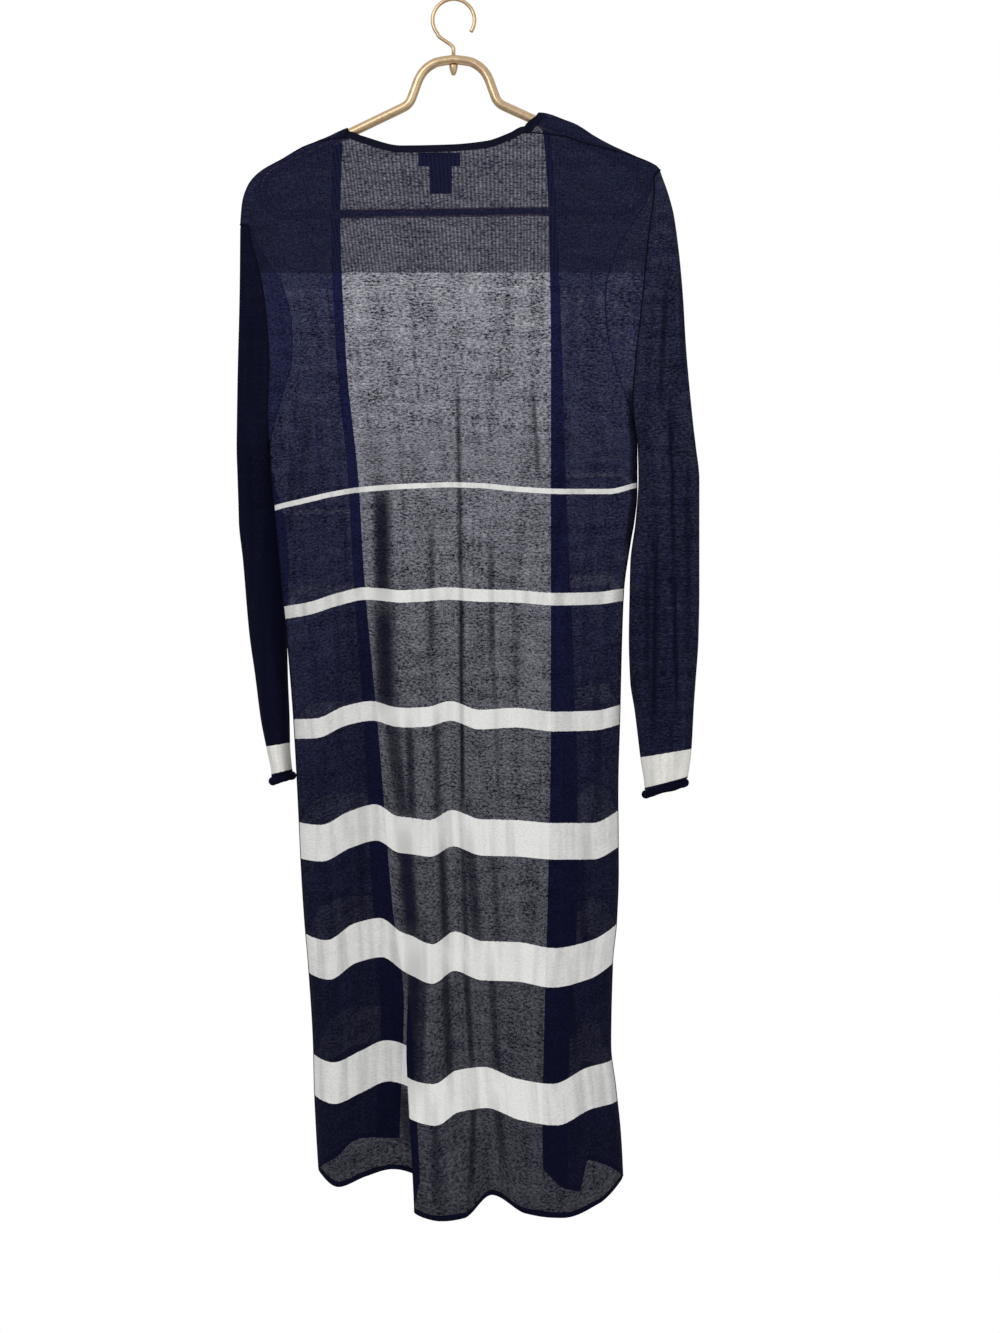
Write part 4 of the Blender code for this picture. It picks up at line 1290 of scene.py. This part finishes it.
def make_sleeves():
    for side in ("left", "right"):
        name = f"sheer_knit_sleeve_{side}"
        cuff = [CUFF_BAND[side]]
        knit = knit_material(name, cuff, 0.0, SLEEVE_OPEN_WITH_SHADE[side], FRONT_FALL, 57.0, (CUFF_DEEP, CUFF_LIGHT))
        rows = [sleeve_top_row(side)]
        rows += [sleeve_armhole_row(side, way) for way in np.linspace(0, 1, ARM_STEPS + 1)[1:]]
        first = rows[-1][0][1]
        last = SLEEVES[side][-1][0] - CUFF_ROLL
        lower = np.linspace(first, last, SLEEVE_STEPS + 1)[1:]
        levels = [sum(point[1] for point in row) / len(row) for row in rows] + list(lower)
        rows += [sleeve_row(side, down) for down in lower]
        full = []
        for level, row in zip(levels, rows):
            step = SLEEVE_GIRTH[side] / (len(row) - 1)
            full.append([sleeve_vertex(side, point, step * k, level) for k, point in enumerate(row)])

        def outward(k, row):
            middle = sum((Vector(metres(point)) for point in row), Vector()) / len(row)
            return (Vector(metres(row[k])) - middle).normalized()

        full = rolled(full, CUFF_ROLL, outward)
        sleeve = grid_piece(f"sleeve_cloth_{side}", full, knit)
        welded(sleeve)
        stands_for(f"sleeve_{side}")


def armhole_line(side):
    """The seam round an armhole, from the underarm up the back, over the shoulder and down the front."""
    end = 0 if side == "left" else -1
    out = SIGN[side] * SEAM_OUT
    ways = list(np.linspace(1, -1, 2 * ARM_STEPS))
    line = [back_row(way)[end] for way in ways] + [front_row(side, way)[0] for way in reversed(ways)]
    return [(point[0] + out, point[1], point[2]) for point in line]


def shoulder_line(side):
    points = []
    for share in np.linspace(0, 1, ARM_STEPS):
        on_top = top_share(side, share)
        points.append(lap_point(on_top, lap_length(along_top_edge(on_top)[2])))
    return points


def side_line(side):
    seam_end = SEAM_END[side]
    downs = [course_down(seam_end, row) for row in np.linspace(1, HEM, COURSE_STEPS * (HEM - 1))]
    return [(side_x(side, down), down, 0.0) for down in downs]


def make_seams():
    """Fine dark threads that close the joins between the panels."""
    thread = thread_material()
    for side in ("left", "right"):
        lines = {"armhole": armhole_line(side), "shoulder": shoulder_line(side), "side": side_line(side)}
        for seam, line in lines.items():
            piece = swept(f"{seam}_seam_{side}", line, SEAM_THREAD, THREAD_SIDES, False, thread)


def fold_section():
    """(rise, distance behind) round the folded neck trim, from its outer foot to its inner one."""
    half = BAND_WALL / 2
    section = [(rise, half) for rise in np.linspace(-TRIM_OVERLAP, NECK_TRIM - half, TRIM_FACE_STEPS)]
    for turn in np.linspace(0, math.pi, TRIM_FOLD_STEPS)[1:-1]:
        section.append((NECK_TRIM - half + half * math.sin(turn), half * math.cos(turn)))
    inner = np.linspace(NECK_TRIM - half, -TRIM_OVERLAP, TRIM_FACE_STEPS)
    return section + [(rise, -half) for rise in inner]


def trim_end(side, way):
    """(foot, rise direction, height share, lean) of the neck trim where it tapers out over a shoulder."""
    normal = along_top_edge(top_share(side, 1))[3]
    x, down, y = front_point(side, 1, blend(-1, TRIM_END_ROW, way))
    end_rise = Vector((-SIGN[side] * TRIM_END_RISE[0], TRIM_END_RISE[1]))
    rise = blend(Vector((-normal[0], -normal[1])), end_rise, way).normalized()
    return (x, down, y - (BAND_WALL - WALL) / 2), rise, blend(1.0, TRIM_END_HEIGHT, way), 0.0


def trim_columns():
    columns = [trim_end("left", way) for way in np.linspace(1, 0, TRIM_END_STEPS, endpoint=False)]
    for way in np.linspace(0, 1, TRIM_STEPS):
        x, down, _, normal = along_top_edge(blend(LEFT_NECK_SHARE, RIGHT_NECK_SHARE, way))
        lean = NECK_TRIM_LEAN * math.sin(math.pi * way) ** 0.5
        columns.append(((x, down, -NECK_TRIM_Y), Vector((-normal[0], -normal[1])), 1.0, lean))
    return columns + [trim_end("right", way) for way in np.linspace(0, 1, TRIM_END_STEPS + 1)[1:]]


def neck_band_rows():
    columns = trim_columns()
    rows = []
    section = fold_section()
    for step, (rise, behind) in enumerate(section):
        row = []
        for k, ((x, down, y), up, height, lean) in enumerate(columns):
            off = (SEAM + rise) * height
            y += lean * rise / NECK_TRIM - behind
            round_fold = 2 * NECK_TRIM * step / len(section)
            row.append((x + up[0] * off, down + up[1] * off, y, TRIM_STITCH * k, round_fold, 0.0))
        rows.append(row)
    return rows


def make_neck():
    trim = trim_material("neck_rib_trim", *NECK_RIB)
    band = grid_piece("neck_trim", neck_band_rows(), trim)
    stands_for("neck_band")
    satin = label_material()
    off = WALL / 2 + SEAM + LABEL_WALL / 2
    for kind, label in (("neck", NECK_LABEL), ("care", CARE_LABEL)):
        xs = np.linspace(label["left"], label["right"], LABEL_STEPS)
        rows = []
        for way in np.linspace(0, 1, LABEL_STEPS):
            down = blend(label["top"], label["bottom"], way)
            rows.append([(x, down, -LAP + off + LABEL_CURL * way * way, x, down, 0.0) for x in xs])
        piece = grid_piece(f"label_{kind}", rows, satin)
        stands_for(f"{kind}_label")
        off += SEAM + LABEL_WALL


def make_camera():
    data = bpy.data.cameras.new("camera")
    data.sensor_width = 36.0
    data.lens = data.sensor_width * CAMERA_AWAY / VIEW_HEIGHT
    camera = placed("camera", data)
    camera.location = (VIEW_CENTRE[0], -CAMERA_AWAY, VIEW_CENTRE[1])
    camera.rotation_euler = (math.pi / 2, 0.0, 0.0)
    bpy.context.scene.camera = camera


def make_light(name, place, aim, size, power):
    data = bpy.data.lights.new(name, "AREA")
    data.shape = "SQUARE"
    data.size = size
    data.energy = power
    light = placed(name, data)
    light.location = place
    light.rotation_euler = (Vector(aim) - Vector(place)).to_track_quat("-Z", "Y").to_euler()


def make_floor():
    mesh = bmesh.new()
    bmesh.ops.create_circle(mesh, cap_ends=True, segments=FLOOR_SIDES, radius=FLOOR_RADIUS)
    paper = Nodes("floor_paper", roughness=0.9)
    paper.colour(PAPER)
    floor = meshed("floor", mesh, paper.material)
    floor.location = (0.0, 0.0, FLOOR_Z)


def make_studio():
    """A plain white background, soft light that falls off downwards, and the lights."""
    world = bpy.data.worlds.new("studio")
    world.use_nodes = True
    tree = world.node_tree
    sky = tree.nodes["Background"]
    paths = tree.nodes.new("ShaderNodeLightPath")
    direction = tree.nodes.new("ShaderNodeTexCoord")
    parts = tree.nodes.new("ShaderNodeSeparateXYZ")
    tree.links.new(direction.outputs["Generated"], parts.inputs[0])
    height = tree.nodes.new("ShaderNodeMapRange")
    tree.links.new(parts.outputs[2], height.inputs["Value"])
    for socket, value in zip(height.inputs[1:5], (-1.0, 1.0, SOFT_LIGHT_LOW, SOFT_LIGHT_HIGH)):
        socket.default_value = value
    strength = tree.nodes.new("ShaderNodeMix")
    tree.links.new(paths.outputs["Is Camera Ray"], strength.inputs[0])
    tree.links.new(height.outputs[0], strength.inputs[2])
    strength.inputs[3].default_value = BACKGROUND
    sky.inputs["Color"].default_value = (1.0, 1.0, 1.0, 1.0)
    tree.links.new(strength.outputs[0], sky.inputs["Strength"])
    bpy.context.scene.world = world
    bpy.context.scene.view_settings.view_transform = "Standard"
    for light in LIGHTS:
        make_light(*light)


make_camera()
make_floor()
make_studio()
make_hanger()
make_body()
make_sleeves()
make_seams()
make_neck()
